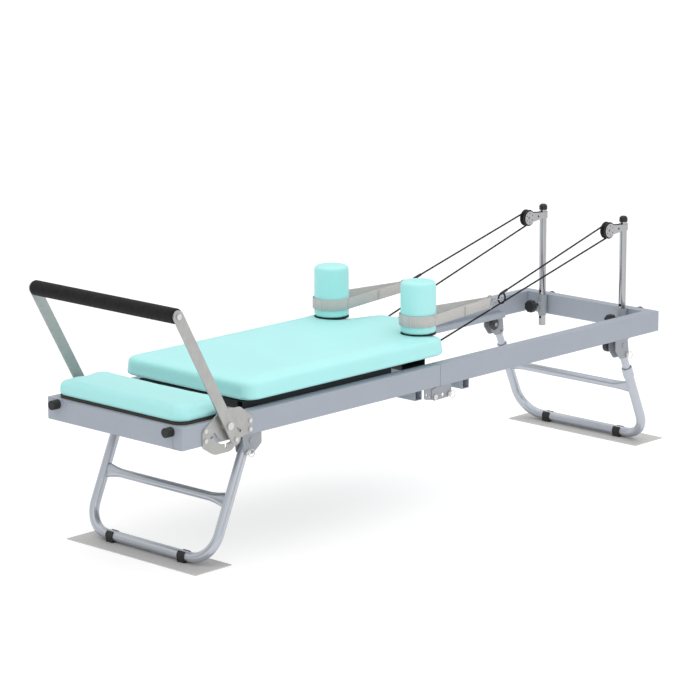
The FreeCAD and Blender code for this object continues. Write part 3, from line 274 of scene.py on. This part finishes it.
def add_rope(label):
    """One rope: its lower run, its turn round the pulley, its upper run, and the eye with its sleeve."""
    wheel, cleat, eye, low_angle, high_angle = rope_route(label)
    body, clip = f"riser_{label}", f"strap_clip_{label}"
    corners = round_wheel(wheel, GROOVE_RADIUS, low_angle, high_angle, TURN_CORNERS)
    low_touch = wheel + Vector((math.sin(low_angle), 0, -math.cos(low_angle))) * GROOVE_RADIUS
    high_touch = wheel + Vector((-math.sin(high_angle), 0, math.cos(high_angle))) * GROOVE_RADIUS
    eye_touch = eye + Vector((-math.sin(high_angle), 0, math.cos(high_angle))) * EYE_RADIUS
    down_run = (high_touch - eye_touch).normalized()
    sleeve_end = eye_touch + down_run * SLEEVE_LENGTH

    lower_path = spline_points(thirds(cleat, low_touch), CURVE_STEPS)
    lower = rope_piece(f"rope_lower_{label}", lower_path)
    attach(lower, body)
    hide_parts(f"rope_{label}")

    turn_path = spline_points([low_touch, *corners, high_touch], CURVE_STEPS)
    turn = rope_piece(f"rope_turn_{label}", turn_path)
    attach(turn, body)

    upper_path = spline_points(thirds(high_touch, sleeve_end), CURVE_STEPS)
    upper = rope_piece(f"rope_upper_{label}", upper_path)
    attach(upper, body)

    loop = [eye + Vector((math.cos(a), 0, math.sin(a))) * EYE_RADIUS
            for a in (high_angle + math.pi / 2 + 2 * math.pi * i / EYE_POINTS for i in range(EYE_POINTS + 1))]
    eye_loop = rope_piece(f"rope_eye_{label}", loop)
    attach(eye_loop, clip)
    sleeve_start = eye_touch - down_run * SLEEVE_OVERLAP
    sleeve_path = evened([sleeve_start, sleeve_end], SLEEVE_STEP)
    sleeve_mesh = tube("sleeve", sleeve_path, SLEEVE_RADIUS, SLEEVE_SIDES, Y_AXIS,
                       sleeve_skin(len(sleeve_path)))
    sleeve = link(f"rope_sleeve_{label}", sleeve_mesh)
    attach(sleeve, clip)

    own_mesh(lower)
    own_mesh(upper)
    return [lower, turn, upper, eye_loop], sleeve


ROPES, SLEEVES = [], []
for label, side in SIDES:
    rope_pieces, rope_sleeve = add_rope(label)
    ROPES += rope_pieces
    SLEEVES.append(rope_sleeve)

# ---------------------------------------------------------------- hand straps

WEB_WALL = 0.0026
WEB_GAP = 0.0010
RING_WIRE = 0.0025
WEB_EDGE = 0.0007
WRAP_STEPS, NOSE_STEPS, RUN_STEPS = 96, 24, 24
PATCH_LIFT, PATCH_INSET = 0.0003, 0.002
PATCH_START, PATCH_END = 13, 22
SEAM_DROPS, SEAM_STITCHES = (0.006, 0.030), 20
BAR_ENDS, BAR_STITCHES, BAR_PITCH = (0.04, 0.96), 9, 0.003
STITCH_LONG, STITCH_SHORT, STITCH_THIN = 0.0035, 0.0022, 0.0006
STITCH_LIFT, STITCH_TAPER = 0.0005, 0.7


def web(name, path, low, high):
    """A flat webbing strip standing on edge along a path in plan, with soft edges."""
    rings = []
    for point, (across, _) in zip(path, carried(path, Y_AXIS)):
        half = WEB_WALL / 2
        outline = [(-half, low + WEB_EDGE), (-half + WEB_EDGE, low),
                   (half - WEB_EDGE, low), (half, low + WEB_EDGE),
                   (half, high - WEB_EDGE), (half - WEB_EDGE, high),
                   (-half + WEB_EDGE, high), (-half, high - WEB_EDGE)]
        rings.append([Vector((point.x + across.x * out, point.y + across.y * out, z)) for out, z in outline])
    return link(name, lofted(name, rings))


def stitch_faces(patch_path, base_z):
    """Raised stitches on a patch: two rows along it and a bar tack at each end."""
    seams = []
    for drop in SEAM_DROPS:
        for step in range(SEAM_STITCHES):
            at = patch_path[0].lerp(patch_path[-1], (step + 0.5) / SEAM_STITCHES)
            seams.append((at, base_z + drop, STITCH_LONG, STITCH_THIN))
    for end in BAR_ENDS:
        for step in range(BAR_STITCHES):
            at = patch_path[0].lerp(patch_path[-1], end)
            seams.append((at, base_z + SEAM_DROPS[0] + BAR_PITCH * step, STITCH_THIN, STITCH_SHORT))
    points, faces = [], []
    for at, height, wide, tall in seams:
        face = at.y - WEB_WALL / 2
        corners = [(-wide / 2, face, height), (wide / 2, face, height), (wide / 2, face, height + tall),
                   (-wide / 2, face, height + tall)]
        base = len(points)
        points += [Vector((at.x + x, y, z)) for x, y, z in corners]
        points += [at.x * X_AXIS + Vector((x * STITCH_TAPER, y - STITCH_LIFT, z)) for x, y, z in corners]
        faces += [(base + 4, base + 5, base + 6, base + 7)]
        faces += [(base + k, base + (k + 1) % 4, base + 4 + (k + 1) % 4, base + 4 + k) for k in range(4)]
        faces += [(base + 3, base + 2, base + 1, base)]
    return points, faces


def add_strap(label, side):
    """A webbing loop: one piece hugs the shoulder rest, the other runs to the ring and back."""
    strap_low, strap_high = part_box("hand_straps")
    rests_low, rests_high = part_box("shoulder_rests")
    radius = (rests_high.x - rests_low.x) / 2
    centre = Vector(((rests_high.x + rests_low.x) / 2, side * (rests_high.y - radius), 0))
    ring_low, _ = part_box(f"strap_ring_{label}")
    bar_x = ring_low.x + RING_WIRE
    wrap, nose = radius + WEB_GAP + WEB_WALL / 2, RING_WIRE + WEB_GAP + WEB_WALL / 2
    reach = bar_x - centre.x
    lean = math.acos((wrap - nose) / reach)
    around = [centre + Vector((math.cos(a), math.sin(a), 0)) * wrap
              for a in (lean + (2 * math.pi - 2 * lean) * i / WRAP_STEPS for i in range(WRAP_STEPS + 1))]
    tip = Vector((bar_x, centre.y, 0))
    bend = [tip + Vector((math.cos(a), math.sin(a), 0)) * nose
            for a in (-lean + 2 * lean * i / NOSE_STEPS for i in range(NOSE_STEPS + 1))]
    near_run = [around[-1].lerp(bend[0], i / RUN_STEPS) for i in range(RUN_STEPS)]
    far_run = [bend[-1].lerp(around[0], i / RUN_STEPS) for i in range(1, RUN_STEPS + 1)]
    hug = web(f"strap_hug_{label}", around, strap_low.z, strap_high.z)
    tail = web(f"strap_tail_{label}", near_run + bend + far_run, strap_low.z, strap_high.z)
    patch_path = [point + Vector((0, -(WEB_WALL + PATCH_LIFT), 0))
                  for point in near_run[PATCH_START:PATCH_END]]
    patch = web(f"strap_patch_{label}", patch_path, strap_low.z + PATCH_INSET, strap_high.z - PATCH_INSET)
    points, faces = stitch_faces(patch_path, strap_low.z)
    stitching = link(f"strap_stitching_{label}", mesh_of("stitching", points, faces), smooth=False)
    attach(hug, "carriage")
    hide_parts("hand_straps")
    for piece in (tail, patch, stitching):
        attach(piece, "carriage")
        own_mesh(piece)
    return [hug, tail, patch], stitching


STRAPS, STITCHING = [], []
for label, side in SIDES:
    strap_pieces, strap_stitching = add_strap(label, side)
    STRAPS += strap_pieces
    STITCHING.append(strap_stitching)

# ---------------------------------------------------------------- springs

SPRING_WIRE = 0.0014
SPRING_TURNS = 118
TURN_STEPS = 14
WIRE_SIDES = 6
HOOK_LENGTH = 0.016
HOOK_TIP, TIP_RISE = 0.0005, 0.004
HOOK_BEND, BEND_RISE = 0.006, 0.008


def add_spring(number, y):
    """A close-wound extension spring with a hook at each end, stretching between the bar and the carriage."""
    low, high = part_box("springs")
    z, radius = (low.z + high.z) / 2, (high.z - low.z) / 2 - SPRING_WIRE
    start, end = low.x + HOOK_LENGTH, high.x - HOOK_LENGTH
    steps = SPRING_TURNS * TURN_STEPS
    points = [Vector((low.x + HOOK_TIP, y, z + TIP_RISE)), Vector((low.x + HOOK_BEND, y, z + BEND_RISE))]
    for step in range(steps + 1):
        turn = 2 * math.pi * step / TURN_STEPS
        x = start + (end - start) * step / steps
        points.append(Vector((x, y + radius * math.sin(turn), z + radius * math.cos(turn))))
    points += [Vector((high.x - HOOK_BEND, y, z + BEND_RISE)), Vector((high.x - HOOK_TIP, y, z + TIP_RISE))]
    spring = link(f"spring_{number}", tube("spring", points, SPRING_WIRE, WIRE_SIDES, Z_AXIS))
    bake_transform(spring)
    return spring


SPRING_PITCH, SPRING_COUNT = 0.076, 4
SPRINGS = [add_spring(number + 1, (number - (SPRING_COUNT - 1) / 2) * SPRING_PITCH)
           for number in range(SPRING_COUNT)]
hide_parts("springs")

# ---------------------------------------------------------------- cushions

OUTLINE_STEP = 0.006
HELD_HEIGHT = 0.010
CLOTH_MASS, CLOTH_STRETCH, CLOTH_SHEAR, CLOTH_BEND = 0.3, 20, 10, 6
PUFF_PRESSURE, PUFF_FRAMES = 4, 20
SHRINK_SHARE = 0.6
LEATHER_ROUNDS = {"mat": (0.006, 0.015), "platform": (0.006, 0.018), "rest": (0.005, 0.011)}

def rounded_outline(corners, step):
    """Points round a plan whose corners are (x, y, radius), with arcs and straight runs split evenly."""
    points = []
    for i, (x, y, radius) in enumerate(corners):
        here = Vector((x, y, 0))
        before = (Vector((*corners[i - 1][:2], 0)) - here).normalized()
        after = (Vector((*corners[(i + 1) % len(corners)][:2], 0)) - here).normalized()
        half_angle = before.angle(after) / 2
        bisector = (before + after).normalized()
        centre = here + bisector * (radius / math.sin(half_angle))
        first = here + before * (radius / math.tan(half_angle)) - centre
        last = here + after * (radius / math.tan(half_angle)) - centre
        sweep = first.angle(last)
        turn = 1 if first.cross(last).z > 0 else -1
        count = max(3, round(radius * sweep / step))
        for k in range(count + 1):
            angle = turn * sweep * k / count
            points.append(centre + Matrix.Rotation(angle, 3, "Z") @ first)
    made = []
    for a, b in zip(points, points[1:] + points[:1]):
        pieces = max(1, round((b - a).length / (2 * step)))
        made += [a.lerp(b, k / pieces) for k in range(pieces)]
    return made


def inset(outline, distance):
    """The outline moved inward by a distance."""
    made = []
    for i, point in enumerate(outline):
        ahead = (outline[(i + 1) % len(outline)] - outline[i - 1]).normalized()
        made.append(point + Vector((-ahead.y, ahead.x, 0)) * distance)
    return made


def pad_form(name, outline, low, high, low_round, top_round):
    """A flat-bottomed pad with a rounded top edge and a small round at its foot."""
    rings = []
    for k in range(4):
        angle = math.pi / 2 * k / 3
        rings.append((low_round * (1 - math.sin(angle)), low + low_round * (1 - math.cos(angle))))
    for k in range(8):
        angle = math.pi / 2 * k / 7
        rings.append((top_round * (1 - math.cos(angle)), high - top_round * (1 - math.sin(angle))))
    skin = [[Vector((p.x, p.y, z)) for p in inset(outline, depth)] for depth, z in rings]
    return link(name, lofted(name, skin))


def puffed(pad, voxel, cap, low):
    """Blows a pad up as cloth, keeps each point within the cap of where it was, and keeps its base flat."""
    remesh = pad.modifiers.new("even", "REMESH")
    remesh.mode, remesh.voxel_size, remesh.adaptivity = "VOXEL", voxel, 0
    ease = pad.modifiers.new("ease", "SMOOTH")
    ease.factor, ease.iterations = 0.5, 8
    bake_modifiers(pad)
    rest = [v.co.copy() for v in pad.data.vertices]
    held = pad.vertex_groups.new(name="held")
    held.add([i for i, co in enumerate(rest) if co.z < low + HELD_HEIGHT], 1.0, "REPLACE")
    cloth = pad.modifiers.new("cloth", "CLOTH")
    settings = cloth.settings
    settings.quality = 5
    settings.mass = CLOTH_MASS
    settings.tension_stiffness = settings.compression_stiffness = CLOTH_STRETCH
    settings.shear_stiffness = CLOTH_SHEAR
    settings.bending_stiffness = CLOTH_BEND
    settings.use_pressure = True
    settings.uniform_pressure_force = PUFF_PRESSURE
    settings.effector_weights.gravity = 0
    settings.vertex_group_mass = "held"
    cloth.point_cache.frame_start, cloth.point_cache.frame_end = 1, PUFF_FRAMES
    for number in range(1, PUFF_FRAMES + 1):
        scene.frame_set(number)
    bake_modifiers(pad)
    scene.frame_set(1)
    for vertex, start in zip(pad.data.vertices, rest):
        move = vertex.co - start
        if move.length > cap:
            vertex.co = start + move.normalized() * cap
    ease = pad.modifiers.new("ease", "SMOOTH")
    ease.factor, ease.iterations = 0.5, 10
    finer = pad.modifiers.new("finer", "SUBSURF")
    finer.levels = finer.render_levels = 1
    bake_modifiers(pad)
    pad.data.shade_smooth()


def bake_modifiers(thing):
    """Applies everything on the stack to the mesh."""
    bpy.context.view_layer.update()
    seen = thing.evaluated_get(bpy.context.evaluated_depsgraph_get())
    mesh = bpy.data.meshes.new_from_object(seen)
    thing.modifiers.clear()
    thing.data = mesh


def cushion(name, node, body, outline, rounds, voxel, cap):
    """A padded piece that stands for one CAD block."""
    low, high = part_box(node)
    shrink = cap * SHRINK_SHARE
    pad = pad_form(name, inset(outline, shrink), low.z, high.z - shrink, *rounds)
    puffed(pad, voxel, cap, low.z)
    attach(pad, body)
    return pad


def mat_outline():
    """The mat's plan, with the narrower head section between the shoulder rests."""
    low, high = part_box("carriage_mat")
    head, root, narrow = 0.122, 0.175, 0.120
    corner, inner, outer = 0.050, 0.012, 0.040
    shoulder = high.x - head
    return rounded_outline([(low.x, low.y, corner), (shoulder, low.y, corner), (shoulder, -root, inner),
                            (high.x, -narrow, outer), (high.x, narrow, outer), (shoulder, root, inner),
                            (shoulder, high.y, corner), (low.x, high.y, corner)], OUTLINE_STEP)


def platform_outline():
    """The platform cushion's plan: its box with round corners."""
    low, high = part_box("platform_cushion")
    corner = 0.045
    return rounded_outline([(low.x, low.y, corner), (high.x, low.y, corner), (high.x, high.y, corner),
                            (low.x, high.y, corner)], OUTLINE_STEP)


mat = cushion("mat_cover", "carriage_mat", "carriage", mat_outline(), LEATHER_ROUNDS["mat"],
              voxel=0.0065, cap=0.005)
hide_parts("carriage_mat")
platform = cushion("platform_cover", "platform_cushion", "front_half", platform_outline(),
                   LEATHER_ROUNDS["platform"], voxel=0.005, cap=0.005)
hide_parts("platform_cushion")


def rest_outline(side):
    """A circle round one of the two shoulder rests that share a node."""
    low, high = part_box("shoulder_rests")
    radius = (high.x - low.x) / 2
    centre = Vector(((low.x + high.x) / 2, side * (high.y - radius), 0))
    return [centre + Vector((math.cos(a), math.sin(a), 0)) * radius
            for a in (2 * math.pi * i / 96 for i in range(96))]


RESTS = []
for label, side in SIDES:
    RESTS.append(cushion(f"shoulder_rest_{label}", "shoulder_rests", "carriage", rest_outline(side),
                         LEATHER_ROUNDS["rest"], voxel=0.004, cap=0.003))
    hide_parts("shoulder_rests")

# ---------------------------------------------------------------- materials


class Look:
    """A node material under construction: one Principled shader over the object's own coordinates."""

    def __init__(self, name, color, roughness, metallic=0.0, **fixed):
        self.material = bpy.data.materials.new(name)
        self.material.use_nodes = True
        self.material.diffuse_color = (*color, 1)
        self.tree = self.material.node_tree
        self.shader = self.tree.nodes["Principled BSDF"]
        self.color = color
        self.shader.inputs["Base Color"].default_value = (*color, 1)
        self.shader.inputs["Roughness"].default_value = roughness
        self.shader.inputs["Metallic"].default_value = metallic
        for socket, value in fixed.items():
            self.shader.inputs[socket.replace("_", " ")].default_value = value
        self.place = self.tree.nodes.new("ShaderNodeTexCoord").outputs["Object"]
        self.normal = None

    def stretched(self, x, y, z):
        """The coordinates scaled along each axis, for grain that runs one way."""
        mapping = self.tree.nodes.new("ShaderNodeMapping")
        mapping.inputs["Scale"].default_value = (x, y, z)
        self.tree.links.new(self.place, mapping.inputs["Vector"])
        return mapping.outputs["Vector"]

    def noise(self, scale, detail=3.0, along=None):
        made = self.tree.nodes.new("ShaderNodeTexNoise")
        made.inputs["Scale"].default_value = scale
        made.inputs["Detail"].default_value = detail
        self.tree.links.new(along or self.place, made.inputs["Vector"])
        return made.outputs[0]

    def cells(self, scale, feature="F1", output="Distance"):
        made = self.tree.nodes.new("ShaderNodeTexVoronoi")
        made.feature = feature
        made.inputs["Scale"].default_value = scale
        self.tree.links.new(self.place, made.inputs["Vector"])
        return made.outputs[output]

    def bands(self, scale, direction, distortion=0.0, along=None):
        made = self.tree.nodes.new("ShaderNodeTexWave")
        made.wave_type, made.bands_direction = "BANDS", direction
        made.inputs["Scale"].default_value = scale
        made.inputs["Distortion"].default_value = distortion
        self.tree.links.new(along or self.place, made.inputs["Vector"])
        return made.outputs["Fac"]

    def spread(self, fac, low, high, start=0.3, end=0.7):
        """A texture's middle range stretched to run from low to high."""
        made = self.tree.nodes.new("ShaderNodeMapRange")
        for socket, value in zip(("From Min", "From Max", "To Min", "To Max"), (start, end, low, high)):
            made.inputs[socket].default_value = value
        self.tree.links.new(fac, made.inputs["Value"])
        return made.outputs["Result"]

    def together(self, a, b, how="MULTIPLY"):
        made = self.tree.nodes.new("ShaderNodeMath")
        made.operation = how
        self.tree.links.new(a, made.inputs[0])
        self.tree.links.new(b, made.inputs[1])
        return made.outputs["Value"]

    def tint(self, fac, other, low=0.0, high=1.0):
        """Mixes another colour into the base colour by a texture."""
        made = self.tree.nodes.new("ShaderNodeMix")
        made.data_type = "RGBA"
        base = self.shader.inputs["Base Color"]
        if base.is_linked:
            self.tree.links.new(base.links[0].from_socket, made.inputs[6])
        else:
            made.inputs[6].default_value = (*self.color, 1)
        made.inputs[7].default_value = (*other, 1)
        self.tree.links.new(self.spread(fac, low, high), made.inputs[0])
        self.tree.links.new(made.outputs[2], base)
        return self

    def roughen(self, fac, low, high):
        self.tree.links.new(self.spread(fac, low, high), self.shader.inputs["Roughness"])
        return self

    def bump(self, fac, height, strength=1.0):
        """Relief of a height in metres, on top of any relief already there."""
        made = self.tree.nodes.new("ShaderNodeBump")
        made.inputs["Distance"].default_value = height
        made.inputs["Strength"].default_value = strength
        self.tree.links.new(fac, made.inputs["Height"])
        if self.normal:
            self.tree.links.new(self.normal, made.inputs["Normal"])
        self.normal = made.outputs["Normal"]
        self.tree.links.new(self.normal, self.shader.inputs["Normal"])
        return self


def scaled(color, share):
    """A colour made lighter or darker by a share."""
    return tuple(c * share for c in color)


def powder_coat(name, color, roughness=0.42):
    """Baked powder paint: fine orange peel, faint mottling and slightly uneven gloss."""
    look = Look(name, color, roughness, Specular_IOR_Level=0.5)
    look.tint(look.noise(3.5, 4), scaled(color, 0.93), 0.0, 0.8)
    look.tint(look.noise(900, 2), scaled(color, 1.05), 0.0, 0.35)
    look.roughen(look.noise(14, 4), roughness - 0.05, roughness + 0.08)
    look.bump(look.noise(650, 2), 0.00006, 0.35)
    return look.material


def satin_paint(name, color):
    """Metallic lacquer over round tube: soft bright streaks and slightly uneven gloss."""
    look = Look(name, color, 0.30, 0.72, Specular_IOR_Level=0.5)
    look.tint(look.noise(4, 4), scaled(color, 0.95), 0.0, 0.6)
    look.roughen(look.noise(16, 4), 0.28, 0.33)
    return look.material


def brushed(name, color, roughness, along):
    """Metal with fine scratches along one direction, given as the stretch of the grain."""
    look = Look(name, color, roughness, 1.0)
    grain = look.noise(1, 5, look.stretched(*along))
    look.tint(grain, scaled(color, 0.86), 0.0, 0.8)
    look.roughen(look.together(grain, look.noise(9, 3), "ADD"), roughness - 0.08, roughness + 0.12)
    look.bump(grain, 0.00004, 0.5)
    return look.material


def chrome(name, color=(0.80, 0.81, 0.83), roughness=0.07):
    """Bright plating with faint smudges and hairline polishing marks."""
    look = Look(name, color, roughness, 1.0)
    look.roughen(look.noise(22, 5), roughness, roughness + 0.09)
    look.tint(look.noise(7, 3), scaled(color, 0.93), 0.0, 0.7)
    look.bump(look.noise(1, 2, look.stretched(2600, 2600, 60)), 0.00001, 0.3)
    return look.material


def faux_leather(name, color):
    """Smooth coated fabric: a fine pebbled grain, a few softer creases and a satin finish."""
    look = Look(name, color, 0.46, Sheen_Weight=0.08, Sheen_Roughness=0.4, Specular_IOR_Level=0.42)
    pebble = look.cells(780, "DISTANCE_TO_EDGE")
    look.tint(look.noise(5, 4), scaled(color, 0.965), 0.0, 0.9)
    look.tint(look.noise(420, 3), scaled(color, 0.97), 0.0, 0.5)
    look.roughen(look.noise(11, 4), 0.42, 0.54)
    look.bump(look.noise(26, 3), 0.0006, 0.16)
    look.bump(look.spread(pebble, 0, 1, 0.0, 0.25), 0.00009, 0.45)
    return look.material


def moulded(name, color, roughness=0.5, grain=1400, depth=0.00006):
    """Moulded plastic or rubber with a spark-eroded grain and slightly lighter worn spots."""
    look = Look(name, color, roughness, Specular_IOR_Level=0.45)
    look.tint(look.noise(30, 4), tuple(c * 1.5 + 0.004 for c in color), 0.0, 0.6)
    look.roughen(look.noise(45, 3), roughness - 0.06, roughness + 0.10)
    look.bump(look.noise(grain, 2), depth, 0.5)
    return look.material


def foam(name, color):
    """Closed-cell foam: tiny open cells under a matt skin."""
    look = Look(name, color, 0.7, Specular_IOR_Level=0.22)
    cells = look.cells(950, "SMOOTH_F1")
    look.tint(look.noise(60, 4), tuple(c * 1.8 + 0.006 for c in color), 0.0, 0.7)
    look.bump(cells, 0.00035, 0.5)
    look.bump(look.noise(90, 3), 0.0006, 0.15)
    return look.material


def webbing(name, color):
    """Woven strap: upright ribs crossed by the weft, with fibres in between."""
    look = Look(name, color, 0.86, Specular_IOR_Level=0.25, Sheen_Weight=0.25)
    ribs = look.bands(90, "X", 0.4)
    picks = look.bands(210, "Z", 0.6)
    look.tint(ribs, scaled(color, 0.80), 0.0, 0.7)
    look.tint(look.noise(300, 4), scaled(color, 0.88), 0.0, 0.7)
    look.bump(look.together(ribs, picks, "ADD"), 0.0004, 0.6)
    return look.material


def braided(name, color):
    """Dull cord: paler fibres and a fine fuzz over the braid that the mesh already has."""
    look = Look(name, color, 0.72, Specular_IOR_Level=0.25)
    look.tint(look.noise(500, 3), tuple(c * 2.2 + 0.01 for c in color), 0.0, 0.7)
    look.bump(look.noise(1300, 2), 0.0002, 0.5)
    return look.material


def plywood(name, color):
    """A sealed board: long grain, darker pores and thin plies on its edge."""
    look = Look(name, color, 0.6, Specular_IOR_Level=0.35)
    grain = look.noise(1, 6, look.stretched(18, 320, 320))
    plies = look.bands(75, "Z")
    look.tint(grain, scaled(color, 0.55), 0.0, 0.9)
    look.tint(plies, scaled(color, 1.35), 0.0, 0.3)
    look.bump(grain, 0.0002, 0.4)
    return look.material


AQUA = (0.40, 0.80, 0.79)
FRAME_BLUE = (0.335, 0.37, 0.425)
LEG_GREY = (0.50, 0.53, 0.58)
STEEL = (0.50, 0.50, 0.49)
BLACK = (0.008, 0.008, 0.009)
WARM_GREY = (0.55, 0.54, 0.52)

LOOKS = {
    "frame_paint": powder_coat("frame_paint", FRAME_BLUE),
    "leg_paint": satin_paint("leg_paint", LEG_GREY),
    "stainless": brushed("stainless", STEEL, 0.42, (40, 900, 40)),
    "bracket_steel": powder_coat("bracket_steel", (0.30, 0.32, 0.345), 0.4),
    "zinc_bolt": brushed("zinc_bolt", (0.68, 0.68, 0.67), 0.24, (500, 500, 500)),
    "pull_pin_steel": chrome("pull_pin_steel", (0.66, 0.66, 0.66), 0.16),
    "chrome": chrome("chrome", (0.42, 0.42, 0.43)),
    "black_plastic": moulded("black_plastic", BLACK, 0.42),
    "socket_paint": powder_coat("socket_paint", (0.30, 0.32, 0.35), 0.36),
    "dark_steel": powder_coat("dark_steel", (0.035, 0.036, 0.04), 0.45),
    "roller_plastic": moulded("roller_plastic", (0.03, 0.03, 0.032), 0.36),
    "bumper_rubber": moulded("bumper_rubber", (0.012, 0.012, 0.013), 0.6, 900, 0.0001),
    "grip_foam": foam("grip_foam", (0.005, 0.005, 0.006)),
    "aqua_leather": faux_leather("aqua_leather", AQUA),
    "rest_leather": faux_leather("rest_leather", AQUA),
    "board_wood": plywood("board_wood", (0.05, 0.04, 0.03)),
    "strap_webbing": webbing("strap_webbing", WARM_GREY),
    "rope_fabric": braided("rope_fabric", (0.006, 0.006, 0.007)),
    "spring_steel": brushed("spring_steel", (0.55, 0.55, 0.56), 0.3, (300, 300, 300)),
    "plate_paint": powder_coat("plate_paint", (0.56, 0.55, 0.54), 0.5),
}
thread = moulded("thread", scaled(WARM_GREY, 1.25), 0.8, 1500, 0.0001)


def dress(thing, material):
    thing.data.materials.clear()
    thing.data.materials.append(material)


for entry in frame["record"]["subparts"]:
    dress(NODES[entry["node"]], LOOKS[entry["material_slot"]])
for thing in (mat, platform):
    dress(thing, LOOKS["aqua_leather"])
for thing in RESTS:
    dress(thing, LOOKS["rest_leather"])
for thing in ROPES:
    dress(thing, LOOKS["rope_fabric"])
for thing in SLEEVES:
    dress(thing, LOOKS["black_plastic"])
for thing in STRAPS:
    dress(thing, LOOKS["strap_webbing"])
for thing in STITCHING:
    dress(thing, thread)
for thing in SPRINGS:
    dress(thing, LOOKS["spring_steel"])

# ---------------------------------------------------------------- edges of the metal parts

EDGE_RADII = {"front_frame": 0.0016, "rear_frame": 0.0016,
              "front_floor_plate": 0.0007, "rear_floor_plate": 0.0007,
              "adjuster_plates": 0.0006, "front_leg_brackets": 0.0005,
              "rear_leg_brackets": 0.0005, "front_fold_plates": 0.0005, "rear_fold_plates": 0.0005}


def softened(node, radius):
    """A small bright round along a metal part's sharp edges."""
    weld = NODES[node].modifiers.new("weld", "WELD")
    weld.merge_threshold = 0.00001
    round_off = NODES[node].modifiers.new("round", "BEVEL")
    round_off.width, round_off.segments = radius, 2
    round_off.limit_method, round_off.angle_limit = "ANGLE", math.radians(40)


for node_name, edge_radius in EDGE_RADII.items():
    softened(node_name, edge_radius)

# ---------------------------------------------------------------- floor and light


FLOOR_HALF = 30.0
DARK_CARDS = 3
GLOW, CARD_GLOW = 0.95, 0.12


def add_floor():
    """A pale sheet that gives off a little light, so that shadows on it stay faint."""
    corners = [(x * FLOOR_HALF, y * FLOOR_HALF, 0) for x, y in ((-1, -1), (1, -1), (1, 1), (-1, 1))]
    floor = link("floor", mesh_of("floor", corners, [(0, 1, 2, 3)]), smooth=False)
    look = Look("floor", (0.50, 0.50, 0.502), 0.6, Specular_IOR_Level=0.2, Emission_Strength=0.56)
    look.shader.inputs["Emission Color"].default_value = (1, 1, 1, 1)
    look.tint(look.noise(0.4, 3), (0.49, 0.49, 0.493), 0.0, 0.6)
    dress(floor, look.material)


def soft_box(name, at, aim, size, watts):
    data = bpy.data.lights.new(name, "AREA")
    data.shape, data.size, data.size_y = "RECTANGLE", size[0], size[1]
    data.energy = watts
    lamp = bpy.data.objects.new(name, data)
    lamp.location = at
    lamp.rotation_mode = "QUATERNION"
    lamp.rotation_quaternion = (Vector(aim) - Vector(at)).to_track_quat("-Z", "Y")
    scene.collection.objects.link(lamp)


def add_world():
    """An even white glow, with a few darker cards standing round the horizon for metal to reflect."""
    world = bpy.data.worlds.new("studio")
    world.use_nodes = True
    scene.world = world
    tree = world.node_tree
    place = tree.nodes.new("ShaderNodeTexCoord").outputs["Generated"]
    apart = tree.nodes.new("ShaderNodeSeparateXYZ")
    tree.links.new(place, apart.inputs["Vector"])
    around = reckoned(tree, "ARCTAN2", apart.outputs["Y"], apart.outputs["X"])
    swing = reckoned(tree, "SINE", reckoned(tree, "MULTIPLY", around, DARK_CARDS))
    card = ranged(tree, swing, 0.25, 0.75, 0.0, 1.0)
    low = ranged(tree, apart.outputs["Z"], 0.10, 0.45, 1.0, 0.0)
    shade = reckoned(tree, "MULTIPLY", card, low)
    glow = tree.nodes["Background"]
    glow.inputs["Color"].default_value = (1.0, 1.0, 1.0, 1)
    tree.links.new(ranged(tree, shade, 0.0, 1.0, GLOW, CARD_GLOW), glow.inputs["Strength"])


def reckoned(tree, operation, *values):
    """A math node's output over sockets or plain numbers."""
    made = tree.nodes.new("ShaderNodeMath")
    made.operation = operation
    for socket, value in zip(made.inputs, values):
        if isinstance(value, bpy.types.NodeSocket):
            tree.links.new(value, socket)
        else:
            socket.default_value = value
    return made.outputs["Value"]


def ranged(tree, value, start, end, low, high):
    """A value's range mapped smoothly onto another."""
    made = tree.nodes.new("ShaderNodeMapRange")
    made.interpolation_type = "SMOOTHSTEP"
    for socket, number in zip(("From Min", "From Max", "To Min", "To Max"), (start, end, low, high)):
        made.inputs[socket].default_value = number
    tree.links.new(value, made.inputs["Value"])
    return made.outputs["Result"]


def add_studio():
    """A white room: an even glow all round, a broad ceiling panel and one panel in front."""
    add_world()
    soft_box("ceiling", (0.2, -0.4, 4.5), (0, 0, 0), (9.0, 7.0), 105)
    soft_box("front", (-2.2, -5.2, 2.4), (0, 0, 0.4), (3.0, 2.0), 22)
    scene.view_settings.view_transform = "Standard"
    scene.view_settings.look = "None"


add_floor()
add_studio()
